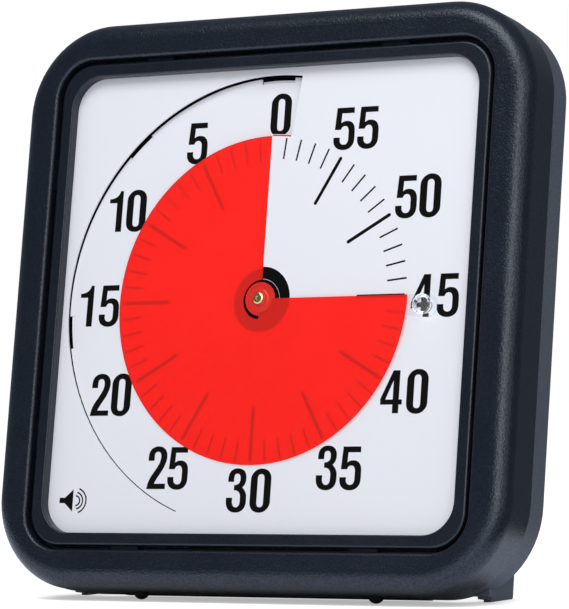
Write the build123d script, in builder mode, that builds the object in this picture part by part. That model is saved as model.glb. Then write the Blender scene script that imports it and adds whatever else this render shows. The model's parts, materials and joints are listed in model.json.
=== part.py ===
from build123d import *
from math import acos, atan2, cos, degrees, pi, radians, sin, tan
import os

os.makedirs("parts", exist_ok=True)

# Millimetres. The dial leans back by leanDeg; local u is to the right, v up the dial, w out of it.
# w = 0 is the face of the dial sheet and u = v = 0 is the disc's axis.

# ---- the case -------------------------------------------------------------------------------
leanDeg = 10.0          # how far the dial leans back from upright
caseWidth = 305.6       # left to right
caseHeight = 306.4      # along the dial
cornerR = 49.0          # outer corners
bezelRise = 8.0         # bezel front above the dial face
frameDepth = 21.5       # dial face back to the parting line
coverDepth = 17.5       # parting line back to the rear face
wall = 3.0              # front frame wall
crownR = 10.0           # outer front edge of the bezel
bezelWidth = 20.45      # case edge in to the frame's own opening
grooveR = 20.5
ringWidth = 9.1         # frame opening in to the visible dial, at the dial face
windowR = 17.5
grooveGap = 2.1         # black groove between frame and inner ring
ringRise = 5.9          # inner ring above the dial face
ringDraft = 0.1         # how far the ring's inner wall opens towards the front
innerWall = 2.5         # wall round the opening
innerWallBack = 4.2     # how far that wall runs behind the dial face
lipR = 2.2              # rounding of the bezel beside the groove
shelfIn = 6.5           # shelf that carries the dial sheet
shelfT = 2.0
coverTaper = 0.4        # the rear cover starts this much inside the frame
coverDraft = 0.6        # and narrows by this much to the rear
coverWall = 2.5
coverEdgeR = 1.5

# ---- clearances -----------------------------------------------------------------------------
runGap = 0.05           # shaft in bearing, radial
fitGap = 0.10           # screw or pin in its hole, radial
snapGap = 0.25          # moulded part beside moulded part

# ---- dial sheet, flap and film --------------------------------------------------------------
sheetT = 0.8
sheetClear = 1.6        # dial sheet edge to frame opening
hubHoleR = 17.3
flapBand = 31.9         # film edge out to the flap's edge
flapCut = 0.6           # width of the arc cut
flapEndDeg = 159.0      # the flap joins the sheet here, counter-clockwise from 0
flapLeadDeg = 7.7       # the radial slit, clockwise of 0
flapDrop = 3.3          # how deep the flap sits at 0
numeralBand = 35.85     # window edge in to the film's edge
filmT = 0.24
filmAtZero = -1.2       # height of the film's middle where it passes the dial's zero line
filmPitch = 3.7         # rise of the film in one turn
filmHoleR = 8.4
bridgeR = 7.65
bridgeDeg = 89.0        # the film reaches the button over this sector
setMinutes = 45.0       # minutes shown
flapNotches = ((-4.7, 5.0), (40.0, 48.0), (93.0, 101.6))   # in the flap's outer edge, degrees
notchDeep = 2.9
tabInnerGap = 0.05
tabEndR = 6.3            # rounded end of the tab, round the knob
tabHalfDeg = 3.4
tabT = 0.24
knobBackDeg = 3.5       # the knob sits this far behind the film's leading edge
knobOut = 11.6          # knob's centre outside the film's edge
knobR = 5.3
knobH = 6.0

# ---- hub ------------------------------------------------------------------------------------
buttonR = 7.3
buttonTop = 1.0         # the thin disc that carries the film
buttonT = 0.6
noseR = 4.6             # raised nose round the shaft's end, at its foot
noseTopR = 3.9
noseTop = 2.9
stemR = 5.2
shaftR = 3.0
shaftTop = 3.8
bushWall = 1.6
panelFront = -6.2
panelT = 2.0
collarR = 17.0          # black collar: a split ramp that passes between two turns of the film
collarT = 0.8
collarAtZero = -4.0     # middle of the collar's ramp where it starts, at the dial's zero line
sleeveIn = 6.65
sleeveOut = 7.4
nutFlats = 11.0
nutT = 2.0

# ---- movement -------------------------------------------------------------------------------
moduleMm = 0.5
wheelTeeth = (56, 52, 48)
pinionTeeth = 14
meshSlack = 0.09
arborR = 0.75
rotorMagnetR = 3.0
moveSide = 4.9          # the cell's bay in from the movement's side
moveTop = 30.0
moveWall = 1.6
lidGap = 1.4            # movement's lid to the inside of the rear cover
lidT = 1.6
cellR = 7.1
cellLength = 50.4
cellV = -51.0
boardT = 1.2

# ---- rear ------------------------------------------------------------------------------------
doorLedge = 2.7         # how far the door reaches past the cell's bay
doorLap = 3.05
doorT = 2.0
pinR = 1.5
barrelR = 3.2
footInset = 30.9        # hinge axis in from the side of the case
footPinIn = 3.0         # hinge axis below the rear face
footReach = 26.0        # how far the foot stands out behind the rear face
footT = 4.0
footTopUp = 45.9        # top of the foot above the case's lower edge
barrelUp = 7.0
magnetR = 9.0
magnetT = 3.0
magnetInset = 34.4
magnetStep = 58.0
bumpU = 70.6
bumpW = -16.3
bumpR = 4.4
bumpUp = 1.2

# ---- what follows from them ------------------------------------------------------------------
halfW = caseWidth / 2
halfH = caseHeight / 2
cosL = cos(radians(leanDeg))
sinL = sin(radians(leanDeg))
rearFace = -(frameDepth + coverDepth)
coverInner = rearFace + coverWall
parting = -frameDepth
bumpV = -halfH + bumpUp
hubZ = bumpR - bumpV * cosL - bumpW * sinL
hubY = -15.856
openU = halfW - bezelWidth
openV = halfH - bezelWidth
windowU = openU - ringWidth
windowV = openV - ringWidth
filmR = min(windowU, windowV) - numeralBand
flapOuterR = filmR + flapBand
knobRadius = filmR + knobOut
footPinU = halfW - footInset
footTopV = -halfH + footTopUp
barrelLowV = -halfH + barrelUp
shelfTop = -sheetT
setDeg = setMinutes * 6.0

wDir = (0, -cosL, sinL)
vDir = (0, sinL, cosL)


def at(u, v, w):
    return (u, hubY + v * sinL - w * cosL, hubZ + v * cosL + w * sinL)


def face(w, u=0.0, v=0.0):
    return Plane(origin=at(u, v, w), x_dir=(1, 0, 0), z_dir=wDir)


def section(deg, u=0.0, v=0.0):
    # a plane that holds the disc's direction w as its y, and the radial direction deg as its x
    a = radians(deg)
    x = Vector(-sin(a), cos(a) * sinL, cos(a) * cosL)
    return Plane(origin=at(u, v, 0), x_dir=x, z_dir=x.cross(Vector(*wDir)))


def sideways(u, v=0.0):
    # x of this plane is w, y is v, and its normal points to the left
    return Plane(origin=at(u, v, 0), x_dir=wDir, z_dir=(-1, 0, 0))


def upward(v, u=0.0):
    # x of this plane is u, y is -w, and its normal points up the dial
    return Plane(origin=at(u, v, 0), x_dir=(1, 0, 0), z_dir=vDir)


def wAxis(u=0.0, v=0.0):
    return Axis(at(u, v, 0), wDir)


def opening(w0, w1, grow, r, mode=Mode.ADD):
    # a slab as large as the frame's opening and grow more all round
    slab(w0, w1, 2 * (openU + grow), 2 * (openV + grow), r, mode)


def slab(w0, w1, width, height, r, mode=Mode.ADD, u=0.0, v=0.0):
    with BuildSketch(face(w0, u, v)) as outline:
        if r > 0:
            RectangleRounded(width, height, r)
        else:
            Rectangle(width, height)
    extrude(outline.sketch, amount=w1 - w0, mode=mode)


def box(u0, u1, v0, v1, w0, w1, mode=Mode.ADD, r=0.0):
    slab(w0, w1, u1 - u0, v1 - v0, r, mode, (u0 + u1) / 2, (v0 + v1) / 2)


def rod(u, v, w0, w1, r, mode=Mode.ADD):
    with BuildSketch(face(w0, u, v)) as outline:
        Circle(r)
    extrude(outline.sketch, amount=w1 - w0, mode=mode)


def turned(points, u=0.0, v=0.0, mode=Mode.ADD):
    # revolves a closed outline of (radius, w) pairs about the direction w
    with BuildSketch(section(-90, u, v)) as outline:
        with BuildLine():
            Polyline(*points, close=True)
        make_face()
    revolve(outline.sketch, axis=wAxis(u, v), mode=mode)


def inset(e):
    # how far an edge's middle lies inside the case's outline
    p = e @ 0.5
    v = (p.Y - hubY) * sinL + (p.Z - hubZ) * cosL
    return min(halfW - abs(p.X), halfH - abs(v))


def ramp(rIn, rOut, deg0, deg1, mid0, thick, pitch, mode=Mode.ADD):
    # a helical sheet; its middle is at height mid0 at deg0 and rises by pitch in each full turn
    rMid = (rIn + rOut) / 2
    start = Plane(origin=at(0, 0, mid0), x_dir=section(deg0).x_dir, z_dir=wDir)
    path = start.location * Helix(pitch, pitch * (deg1 - deg0) / 360, rMid, mode=Mode.PRIVATE)
    with BuildSketch(section(deg0)) as outline:
        with Locations((rMid, mid0)):
            Rectangle(rOut - rIn, thick)
    sweep(outline.sketch, path=path, is_frenet=True, mode=mode)


def sector(w0, w1, rIn, rOut, deg0, deg1, mode=Mode.ADD):
    # a flat ring sector, degrees counter-clockwise from the zero line
    steps = [deg0 + (deg1 - deg0) * k / 24 for k in range(25)]
    far = 1.02 * rOut
    with BuildSketch(face(w0)) as outline:
        with BuildLine():
            Polyline((0, 0), *[(-far * sin(radians(d)), far * cos(radians(d))) for d in steps],
                     close=True)
        make_face()
        Circle(rOut, mode=Mode.INTERSECT)
        if rIn > 0:
            Circle(rIn, mode=Mode.SUBTRACT)
    extrude(outline.sketch, amount=w1 - w0, mode=mode)


def toothed(teeth, u, v, w0, w1, towardDeg, onTooth):
    # a spur gear with a tooth (onTooth) or a gap facing towardDeg, counted from u
    r = moduleMm * teeth / 2
    rTip = r + 0.8 * moduleMm
    rRoot = r - 1.1 * moduleMm
    rBase = r * cos(radians(20))
    inv20 = tan(radians(20)) - radians(20)
    flat = (pi * moduleMm / 2 - meshSlack) / (2 * r)

    def halfAngle(rho):
        if rho <= rBase:
            return flat + inv20
        x = acos(rBase / rho)
        return flat + inv20 - (tan(x) - x)

    rhos = [rRoot, max(rBase, rRoot + 0.02), (max(rBase, rRoot) + r) / 2 + 0.05, r + 0.08, rTip]
    points = []
    for k in range(teeth):
        mid = radians(towardDeg) + 2 * pi * (k + (0 if onTooth else 0.5)) / teeth
        for rho in rhos:
            points.append((rho * cos(mid - halfAngle(rho)), rho * sin(mid - halfAngle(rho))))
        for rho in reversed(rhos):
            points.append((rho * cos(mid + halfAngle(rho)), rho * sin(mid + halfAngle(rho))))
    with BuildSketch(face(w0, u, v)) as outline:
        with BuildLine():
            Polyline(*points, close=True)
        make_face()
    extrude(outline.sketch, amount=w1 - w0)


def bearing(fromU, fromV, distance, deg):
    return (fromU + distance * cos(radians(deg)), fromV + distance * sin(radians(deg)))


# ---- places shared by several pieces -----------------------------------------------------------
sheetR = grooveR - sheetClear
ringR = grooveR - grooveGap
panelBack = panelFront - panelT
bandBack = bezelRise - wall
lugV = 71.5
lugLong = 16.0
lugW = 1.6
lugT = 1.2
lugOut = 0.75
postInset = 10.2
sideU = halfW - postInset
sideV = halfH - postInset
cornerIn = cornerR - (cornerR - postInset) * cos(radians(45))
cornerU = halfW - cornerIn
cornerV = halfH - cornerIn
caseSpots = [(su * cornerU, sv * cornerV) for su in (-1, 1) for sv in (-1, 1)]
caseSpots += [(-sideU, 0), (sideU, 0), (0, -sideV), (0, sideV)]
bossR = 4.0
screwR = 1.4
panelSpots = [(su * (openU - 3.3), sv * 55.0) for su in (-1, 1) for sv in (-1, 1)]
panelSpots += [(su * 55.0, sv * (openV - 3.3)) for su in (-1, 1) for sv in (-1, 1)]
pinW = rearFace + footPinIn
recessTop = footTopV + 0.5
recessFloor = pinW + barrelR + 0.4
floorLine = [(w, -(hubZ + w * sinL) / cosL) for w in (pinW - 4.2, rearFace - footReach)]

# ================================ the case ======================================================

with BuildPart() as frame_hollow:
    slab(parting - 1, bandBack, caseWidth - 2 * wall, caseHeight - 2 * wall, cornerR - wall)
    fillet(frame_hollow.edges().group_by(wAxis())[-1], crownR - wall)

with BuildPart() as front_bezel:
    slab(parting, bezelRise, caseWidth, caseHeight, cornerR)
    fillet(front_bezel.edges().group_by(wAxis())[-1], crownR)
    add(frame_hollow.part, mode=Mode.SUBTRACT)
    # wall round the dial opening, with the shelf for the sheet
    opening(-innerWallBack, bezelRise - 0.5, innerWall, grooveR + innerWall)
    opening(-innerWallBack - 1, bezelRise + 1, 0, grooveR, Mode.SUBTRACT)
    rim = [e for e in front_bezel.edges().group_by(wAxis())[-1] if inset(e) > bezelWidth - 1]
    fillet(rim, lipR)
    opening(shelfTop - shelfT, shelfTop, 0.5, grooveR + 0.5)
    opening(shelfTop - shelfT - 1, shelfTop + 1, -shelfIn, grooveR - shelfIn, Mode.SUBTRACT)
    for u, v in panelSpots:
        rod(u, v, panelFront, shelfTop - shelfT, 2.6)
    for u, v in panelSpots:
        rod(u, v, panelFront, panelFront + 2.6, 1.0 + 0.02, Mode.SUBTRACT)
    # posts for the case screws
    for u, v in caseSpots:
        rod(u, v, parting + 0.3, bandBack + 0.4, bossR)
    for u, v in caseSpots:
        rod(u, v, parting + 0.3, parting + 16, screwR + 0.02, Mode.SUBTRACT)
    # slots for the inner ring's snap lugs
    lw0 = lugW - lugT / 2 - snapGap
    lw1 = lugW + lugT / 2 + snapGap
    lh = lugLong / 2 + snapGap
    for s in (-1, 1):
        for v in (-lugV, lugV):
            a, b = sorted((s * (openU - 0.5), s * (openU + innerWall - 0.9)))
            box(a, b, v - lh, v + lh, lw0, lw1, Mode.SUBTRACT)
            a, b = sorted((s * (openV - 0.5), s * (openV + innerWall - 0.9)))
            box(v - lh, v + lh, a, b, lw0, lw1, Mode.SUBTRACT)
    # sockets for the two round feet
    for u in (-bumpU, bumpU):
        with BuildSketch(upward(-halfH - 1, u)):
            with Locations((0, -bumpW)):
                Circle(2.0 + fitGap)
        extrude(amount=wall + 2, mode=Mode.SUBTRACT)
front_bezel.part.label = "front_bezel"
export_step(front_bezel.part, "parts/front_bezel.step")

with BuildPart() as inner_ring:
    opening(0, ringRise, -grooveGap, ringR)
    opening(shelfTop, 0, -grooveGap, ringR)
    opening(shelfTop, 0, snapGap - sheetClear, sheetR + snapGap, Mode.SUBTRACT)
    with BuildSketch(face(0)):
        RectangleRounded(2 * windowU, 2 * windowV, windowR)
    with BuildSketch(face(ringRise)):
        RectangleRounded(2 * (windowU + ringDraft), 2 * (windowV + ringDraft),
                         windowR + ringDraft)
    loft(mode=Mode.SUBTRACT)
    half = bezelWidth + ringWidth / 2
    fillet([e for e in inner_ring.edges().group_by(wAxis())[-1] if inset(e) < half], 1.6)
    fillet([e for e in inner_ring.edges().group_by(wAxis())[-1] if inset(e) > half], 0.9)
    for s in (-1, 1):
        for v in (-lugV, lugV):
            a, b = sorted((s * (openU - grooveGap - 0.6), s * (openU + lugOut)))
            box(a, b, v - lugLong / 2, v + lugLong / 2, lugW - lugT / 2, lugW + lugT / 2)
            a, b = sorted((s * (openV - grooveGap - 0.6), s * (openV + lugOut)))
            box(v - lugLong / 2, v + lugLong / 2, a, b, lugW - lugT / 2, lugW + lugT / 2)
inner_ring.part.label = "inner_ring"
export_step(inner_ring.part, "parts/inner_ring.step")

with BuildPart() as back_panel:
    opening(panelBack, panelFront, innerWall - 0.5, grooveR + innerWall - 0.5)
    rod(0, 0, panelBack - 1, panelFront + 1, shaftR + runGap + bushWall + fitGap, Mode.SUBTRACT)
    for u, v in panelSpots:
        rod(u, v, panelBack - 1, panelFront + 1, 1.0 + fitGap, Mode.SUBTRACT)
back_panel.part.label = "back_panel"
export_step(back_panel.part, "parts/back_panel.step")

with BuildPart() as panel_screws:
    for u, v in panelSpots:
        rod(u, v, panelBack, panelFront + 2.4, 1.0)
        rod(u, v, panelBack - 1.4, panelBack, 2.0)
    for u, v in panelSpots:
        box(u - 1.4, u + 1.4, v - 0.25, v + 0.25, panelBack - 1.5, panelBack - 0.8, Mode.SUBTRACT)
        box(u - 0.25, u + 0.25, v - 1.4, v + 1.4, panelBack - 1.5, panelBack - 0.8, Mode.SUBTRACT)
panel_screws.part.label = "panel_screws"
export_step(panel_screws.part, "parts/panel_screws.step")

# ================================ dial sheet and its flap ========================================
flapPitch = flapDrop * 360 / flapEndDeg
flapMid = -flapDrop - sheetT / 2

with BuildPart() as dial_sheet:
    opening(-sheetT, 0, -sheetClear, sheetR)
    rod(0, 0, -sheetT - 1, 1, hubHoleR, Mode.SUBTRACT)
    sector(-sheetT - 1, 1, 0, flapOuterR + flapCut, 0, flapEndDeg, Mode.SUBTRACT)
    sector(-sheetT - 1, 1, filmR + 0.6, flapOuterR + flapCut, -flapLeadDeg, 0.4, Mode.SUBTRACT)
    ramp(hubHoleR, flapOuterR, 0, flapEndDeg + 0.6, flapMid, sheetT, flapPitch)
    ramp(filmR + 1.0, flapOuterR, -flapLeadDeg + 0.5, 0.4,
         flapMid + flapPitch * (-flapLeadDeg + 0.5) / 360, sheetT, flapPitch)
    for a, b in flapNotches:
        sector(-flapDrop - 2 * sheetT - 1, 1, flapOuterR - notchDeep, flapOuterR + 0.2, a, b,
               Mode.SUBTRACT)
dial_sheet.part.label = "dial_sheet"
export_step(dial_sheet.part, "parts/dial_sheet.step")

# ================================ the red film and its pull knob =================================


def filmMid(deg):
    return filmAtZero + filmPitch * deg / 360


with BuildPart() as red_film:
    first = setDeg - 359.0
    bridgeFrom = 180.0 + (setDeg - 270.0)
    ramp(filmHoleR, filmR, first, setDeg, filmMid(first), filmT, filmPitch)
    ramp(bridgeR, filmHoleR + 0.4, bridgeFrom, bridgeFrom + bridgeDeg, filmMid(bridgeFrom), filmT,
         filmPitch)
red_film.part.label = "red_film"
export_step(red_film.part, "parts/red_film.step")

knobDeg = setDeg - knobBackDeg
with BuildPart() as clear_tab:
    ramp(filmR + tabInnerGap, knobRadius + tabEndR + 2, knobDeg - tabHalfDeg, knobDeg + tabHalfDeg,
         filmMid(knobDeg - tabHalfDeg), tabT, filmPitch)
    with BuildSketch(Plane(origin=at(0, 0, -10), x_dir=section(knobDeg).x_dir, z_dir=wDir)):
        with Locations((knobRadius, 0)):
            Circle(tabEndR)
        with Locations((knobRadius - 20, 0)):
            Rectangle(40, 2 * tabEndR)
    extrude(amount=20, mode=Mode.INTERSECT)
clear_tab.part.label = "clear_tab"
export_step(clear_tab.part, "parts/clear_tab.step")

knobU = -knobRadius * sin(radians(knobDeg))
knobV = knobRadius * cos(radians(knobDeg))
knobBase = filmMid(knobDeg) + tabT / 2 + 0.06
with BuildPart() as pull_knob:
    b = knobBase
    turned([(0, b), (knobR - 1.2, b), (knobR - 1.2, b + 1.0), (knobR - 1.6, b + 2.6),
            (knobR - 0.6, b + knobH - 1.6), (knobR, b + knobH - 1.1), (knobR, b + knobH - 0.5),
            (knobR - 0.6, b + knobH), (0, b + knobH)], knobU, knobV)
pull_knob.part.label = "pull_knob"
export_step(pull_knob.part, "parts/pull_knob.step")

# ================================ hub ============================================================
nutTop = panelFront + collarT + nutT
bushTop = nutTop + 0.6
bushR = shaftR + runGap + bushWall
moveFront = panelBack
moveInner = moveFront - moveWall
moveSeat = coverInner + lidGap + lidT
wheelTop = moveInner - 1.0

with BuildPart() as disc_hub:
    low = bushTop + 0.3
    turned([(shaftR + 0.02, low), (stemR, low), (stemR, buttonTop - buttonT),
            (buttonR, buttonTop - buttonT), (buttonR, buttonTop - 0.2), (buttonR - 0.2, buttonTop),
            (noseR + 0.5, buttonTop), (noseR, buttonTop + 0.3), (noseTopR, noseTop - 0.5),
            (noseTopR - 0.4, noseTop), (shaftR + 0.02, noseTop)])
disc_hub.part.label = "disc_hub"
export_step(disc_hub.part, "parts/disc_hub.step")

clipW = wheelTop - 3.0
with BuildPart() as shaft:
    turned([(0, clipW - 1.6), (shaftR - 0.4, clipW - 1.6), (shaftR, clipW - 1.2),
            (shaftR, clipW - 0.7), (shaftR - 0.5, clipW - 0.7), (shaftR - 0.5, clipW),
            (shaftR, clipW), (shaftR, shaftTop - 0.5), (shaftR - 0.7, shaftTop - 0.1),
            (1.1, shaftTop), (0.8, shaftTop - 0.4), (0, shaftTop - 0.5)])
shaft.part.label = "shaft"
export_step(shaft.part, "parts/shaft.step")

with BuildPart() as hub_collar:
    # a flange under the nut, a sleeve round it, and the ramp on top
    lowWall = collarAtZero - panelFront
    turned([(bushR + fitGap, panelFront), (sleeveOut, panelFront),
            (sleeveOut, panelFront + lowWall + 1.2), (sleeveIn, panelFront + lowWall + 1.2),
            (sleeveIn, panelFront + collarT), (bushR + fitGap, panelFront + collarT)])
    ramp(sleeveIn, sleeveOut, 0.5, 359.5, collarAtZero - lowWall / 2, lowWall - 0.02, filmPitch)
    ramp(sleeveIn, collarR, 0.5, 359.5, collarAtZero, collarT, filmPitch)
hub_collar.part.label = "hub_collar"
export_step(hub_collar.part, "parts/hub_collar.step")

with BuildPart() as bushing:
    turned([(shaftR + runGap, moveInner - 0.4), (bushR, moveInner - 0.4), (bushR, bushTop),
            (shaftR + runGap, bushTop)])
bushing.part.label = "bushing"
export_step(bushing.part, "parts/bushing.step")

with BuildPart() as bushing_nut:
    with BuildSketch(face(panelFront + collarT)):
        RegularPolygon(nutFlats / 2, 6, major_radius=False)
        Circle(bushR + 0.02, mode=Mode.SUBTRACT)
    extrude(amount=nutT)
bushing_nut.part.label = "bushing_nut"
export_step(bushing_nut.part, "parts/bushing_nut.step")

# ================================ movement =======================================================
r1, r2, r3 = [moduleMm * t / 2 for t in wheelTeeth]
rp = moduleMm * pinionTeeth / 2
dirs = (40.0, -75.0, -115.0)
secondUV = bearing(0, 0, r1 + rp, dirs[0])
thirdUV = bearing(*secondUV, r2 + rp, dirs[1])
rotorUV = bearing(*thirdUV, r3 + rp, dirs[2])
secondW = wheelTop - 4.4
thirdW = secondW - 2.6
trainW = thirdW - 6.2
trainT = 1.2
magnetTopW = thirdW - 2.2
boardW = trainW - trainT - 1.4
cellW = moveSeat + cellR - 0.1
cellLow = cellV - cellR - 0.7
cellHigh = cellV + cellR + 0.7
bayHalf = cellLength / 2 + 3.9
moveHalfW = bayHalf + moveSide
doorHalfU = bayHalf + doorLedge
doorTop = cellHigh + doorLap
doorBottom = cellLow - doorLap
bayFloor = cellW + cellR + 0.5
moveLow = cellLow - 3.2
lidSpots = [(-moveHalfW + 4.2, moveTop - 4.2), (moveHalfW - 4.2, moveTop - 4.2),
            (-moveHalfW + 4.2, -26.0), (moveHalfW - 4.2, -26.0)]
trainSpots = [(-4.5, 24.0), (24.4, 24.8), (-10.5, -24.5), (29.0, -17.5)]
magnetSpots = [(s * (halfW - magnetInset), halfH - magnetInset - k * magnetStep)
               for s in (-1, 1) for k in (0, 1)]
buzzerU, buzzerV, buzzerR = -16.0, 10.0, 8.0
switchU, switchV = -16.0, -16.0

with BuildPart() as movement_case:
    box(-moveHalfW, moveHalfW, moveLow, moveTop, moveSeat, moveFront, r=4.0)
    box(-moveHalfW + moveWall, moveHalfW - moveWall, cellHigh + moveWall, moveTop - moveWall,
        moveSeat - 1, moveInner, Mode.SUBTRACT, r=2.4)
    # the cell's bay is open to the rear
    box(-bayHalf, bayHalf, cellLow, cellHigh, moveSeat - 1, bayFloor, Mode.SUBTRACT, r=0.3)
    box(-moveHalfW + moveWall, moveHalfW - moveWall, moveLow + moveWall, cellHigh - 1.5,
        bayFloor + 1.6, moveInner, Mode.SUBTRACT, r=2.4)
    for u, v in lidSpots:
        rod(u, v, moveSeat, moveInner + 0.4, 3.0)
    for u, v in trainSpots:
        rod(u, v, trainW, moveInner + 0.4, 2.2)
    rod(0, 0, moveInner - 3, moveFront + 1, bushR + 0.02, Mode.SUBTRACT)
    for u, v in (secondUV, thirdUV, rotorUV):
        rod(u, v, moveInner - 0.5, moveInner + 0.2, 2.2)
        rod(u, v, moveInner - 0.6, moveInner + 1.0, arborR + runGap, Mode.SUBTRACT)
    for u, v in lidSpots:
        rod(u, v, moveSeat - 1, moveSeat + 9, 0.9, Mode.SUBTRACT)
    # passages for the two contact strips
    for s in (-1, 1):
        a, b = sorted((s * (bayHalf - 0.1), s * (bayHalf - 5.4)))
        box(a, b, cellHigh - 0.5, cellHigh + moveWall + 0.5, moveSeat - 1, boardW - boardT + 0.6,
            Mode.SUBTRACT)
movement_case.part.label = "movement_case"
export_step(movement_case.part, "parts/movement_case.step")

with BuildPart() as movement_lid:
    box(-moveHalfW, moveHalfW, moveLow, moveTop, moveSeat - lidT, moveSeat, r=4.0)
    box(-bayHalf, bayHalf, cellLow, cellHigh, moveSeat - lidT - 1, moveSeat + 1, Mode.SUBTRACT,
        r=1.0)
    rod(buzzerU, buzzerV, moveSeat - lidT - 1, moveSeat + 1, buzzerR + 0.5, Mode.SUBTRACT)
    box(switchU - 7.5, switchU + 7.5, switchV - 4.5, switchV + 4.5, moveSeat - lidT - 1,
        moveSeat + 1, Mode.SUBTRACT)
    for u, v in lidSpots:
        rod(u, v, moveSeat - lidT - 1, moveSeat + 1, 0.9 + fitGap, Mode.SUBTRACT)
movement_lid.part.label = "movement_lid"
export_step(movement_lid.part, "parts/movement_lid.step")

with BuildPart() as lid_screws:
    for u, v in lidSpots:
        rod(u, v, moveSeat - lidT, moveSeat + 7, 0.88)
        rod(u, v, moveSeat - lidT - 1.0, moveSeat - lidT, 1.7)
    for u, v in lidSpots:
        box(u - 1.3, u + 1.3, v - 0.2, v + 0.2, moveSeat - lidT - 1.1, moveSeat - lidT - 0.5,
            Mode.SUBTRACT)
        box(u - 0.2, u + 0.2, v - 1.3, v + 1.3, moveSeat - lidT - 1.1, moveSeat - lidT - 0.5,
            Mode.SUBTRACT)
lid_screws.part.label = "lid_screws"
export_step(lid_screws.part, "parts/lid_screws.step")

with BuildPart() as centre_wheel:
    toothed(wheelTeeth[0], 0, 0, wheelTop - 1.0, wheelTop, dirs[0], True)
    rod(0, 0, wheelTop - 1.6, wheelTop + 0.4, shaftR + 1.8)
    with BuildSketch(face(wheelTop - 2)):
        with PolarLocations((r1 + shaftR + 1.2) / 2, 5):
            Circle(2.2)
    extrude(amount=3, mode=Mode.SUBTRACT)
    rod(0, 0, wheelTop - 2, wheelTop + 2, shaftR + runGap, Mode.SUBTRACT)
centre_wheel.part.label = "centre_wheel"
export_step(centre_wheel.part, "parts/centre_wheel.step")

with BuildPart() as clutch_spring:
    w = wheelTop - 1.6
    turned([(shaftR + 0.1, clipW + 0.02), (shaftR + 0.9, clipW + 0.02), (shaftR + 2.2, w - 0.42),
            (shaftR + 2.2, w - 0.02), (shaftR + 1.3, w - 0.02), (shaftR + 0.1, clipW + 0.42)])
clutch_spring.part.label = "clutch_spring"
export_step(clutch_spring.part, "parts/clutch_spring.step")

with BuildPart() as shaft_clip:
    rod(0, 0, clipW - 0.65, clipW - 0.05, shaftR + 1.5)
    rod(0, 0, clipW - 2, clipW + 1, shaftR - 0.48, Mode.SUBTRACT)
    box(-1.6, 1.6, 0, shaftR + 3, clipW - 2, clipW + 1, Mode.SUBTRACT)
shaft_clip.part.label = "shaft_clip"
export_step(shaft_clip.part, "parts/shaft_clip.step")

with BuildPart() as second_wheel:
    u, v = secondUV
    toothed(pinionTeeth, u, v, wheelTop - 1.3, wheelTop + 0.3, dirs[0] + 180, False)
    rod(u, v, secondW - 0.5, wheelTop - 1.3, 2.0)
    toothed(wheelTeeth[1], u, v, secondW - 1.0, secondW, dirs[1], True)
    rod(u, v, trainW - trainT, moveInner + 0.5, arborR)
second_wheel.part.label = "second_wheel"
export_step(second_wheel.part, "parts/second_wheel.step")

with BuildPart() as third_wheel:
    u, v = thirdUV
    toothed(pinionTeeth, u, v, secondW - 1.3, secondW + 0.3, dirs[1] + 180, False)
    rod(u, v, thirdW - 0.5, secondW - 1.3, 2.0)
    toothed(wheelTeeth[2], u, v, thirdW - 1.0, thirdW, dirs[2], True)
    rod(u, v, trainW - trainT, moveInner + 0.5, arborR)
third_wheel.part.label = "third_wheel"
export_step(third_wheel.part, "parts/third_wheel.step")

with BuildPart() as rotor:
    u, v = rotorUV
    toothed(pinionTeeth, u, v, thirdW - 1.5, thirdW + 0.3, dirs[2] + 180, False)
    rod(u, v, magnetTopW, thirdW - 1.5, 1.6)
    rod(u, v, trainW - trainT, moveInner + 0.5, arborR)
rotor.part.label = "rotor"
export_step(rotor.part, "parts/rotor.step")

with BuildPart() as rotor_magnet:
    u, v = rotorUV
    rod(u, v, magnetTopW - 3.0, magnetTopW, rotorMagnetR)
    rod(u, v, magnetTopW - 4.0, magnetTopW + 1, arborR + 0.02, Mode.SUBTRACT)
rotor_magnet.part.label = "rotor_magnet"
export_step(rotor_magnet.part, "parts/rotor_magnet.step")

statorW = magnetTopW - 1.0
statorT = 1.0
coilV = cellHigh + moveWall + 5.2
coilU0, coilU1 = rotorUV[0] - 13.0, rotorUV[0] + 8.6
coilR = 3.2
with BuildPart() as stator:
    u, v = rotorUV
    box(coilU0 - 5.5, coilU1 + 5.5, coilV - 1.6, v + 6.0, statorW - statorT, statorW)
    box(coilU0 - 0.4, coilU1 + 0.4, coilV - 9.0, v - 6.4, statorW - 3, statorW + 2, Mode.SUBTRACT)
    rod(u, v, statorW - 3, statorW + 2, rotorMagnetR + 0.5, Mode.SUBTRACT)
    box(coilU0 - 5.5, coilU1 + 5.5, coilV - 1.6, coilV + 1.6, statorW - 2 * statorT,
        statorW - statorT)
stator.part.label = "stator"
export_step(stator.part, "parts/stator.step")

with BuildPart() as coil:
    axisW = statorW - 1.5 * statorT
    # bobbin with two cheeks and the winding between them
    for a, b, r in ((coilU0, coilU1, coilR), (coilU0, coilU0 + 1.0, coilR + 0.5),
                    (coilU1 - 1.0, coilU1, coilR + 0.5)):
        with BuildSketch(sideways(b)):
            with Locations((axisW, coilV)):
                Circle(r)
        extrude(amount=b - a)
    box(coilU0 - 1, coilU1 + 1, coilV - 1.75, coilV + 1.75, axisW - 0.65, axisW + 0.65,
        Mode.SUBTRACT)
coil.part.label = "coil"
export_step(coil.part, "parts/coil.step")

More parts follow.
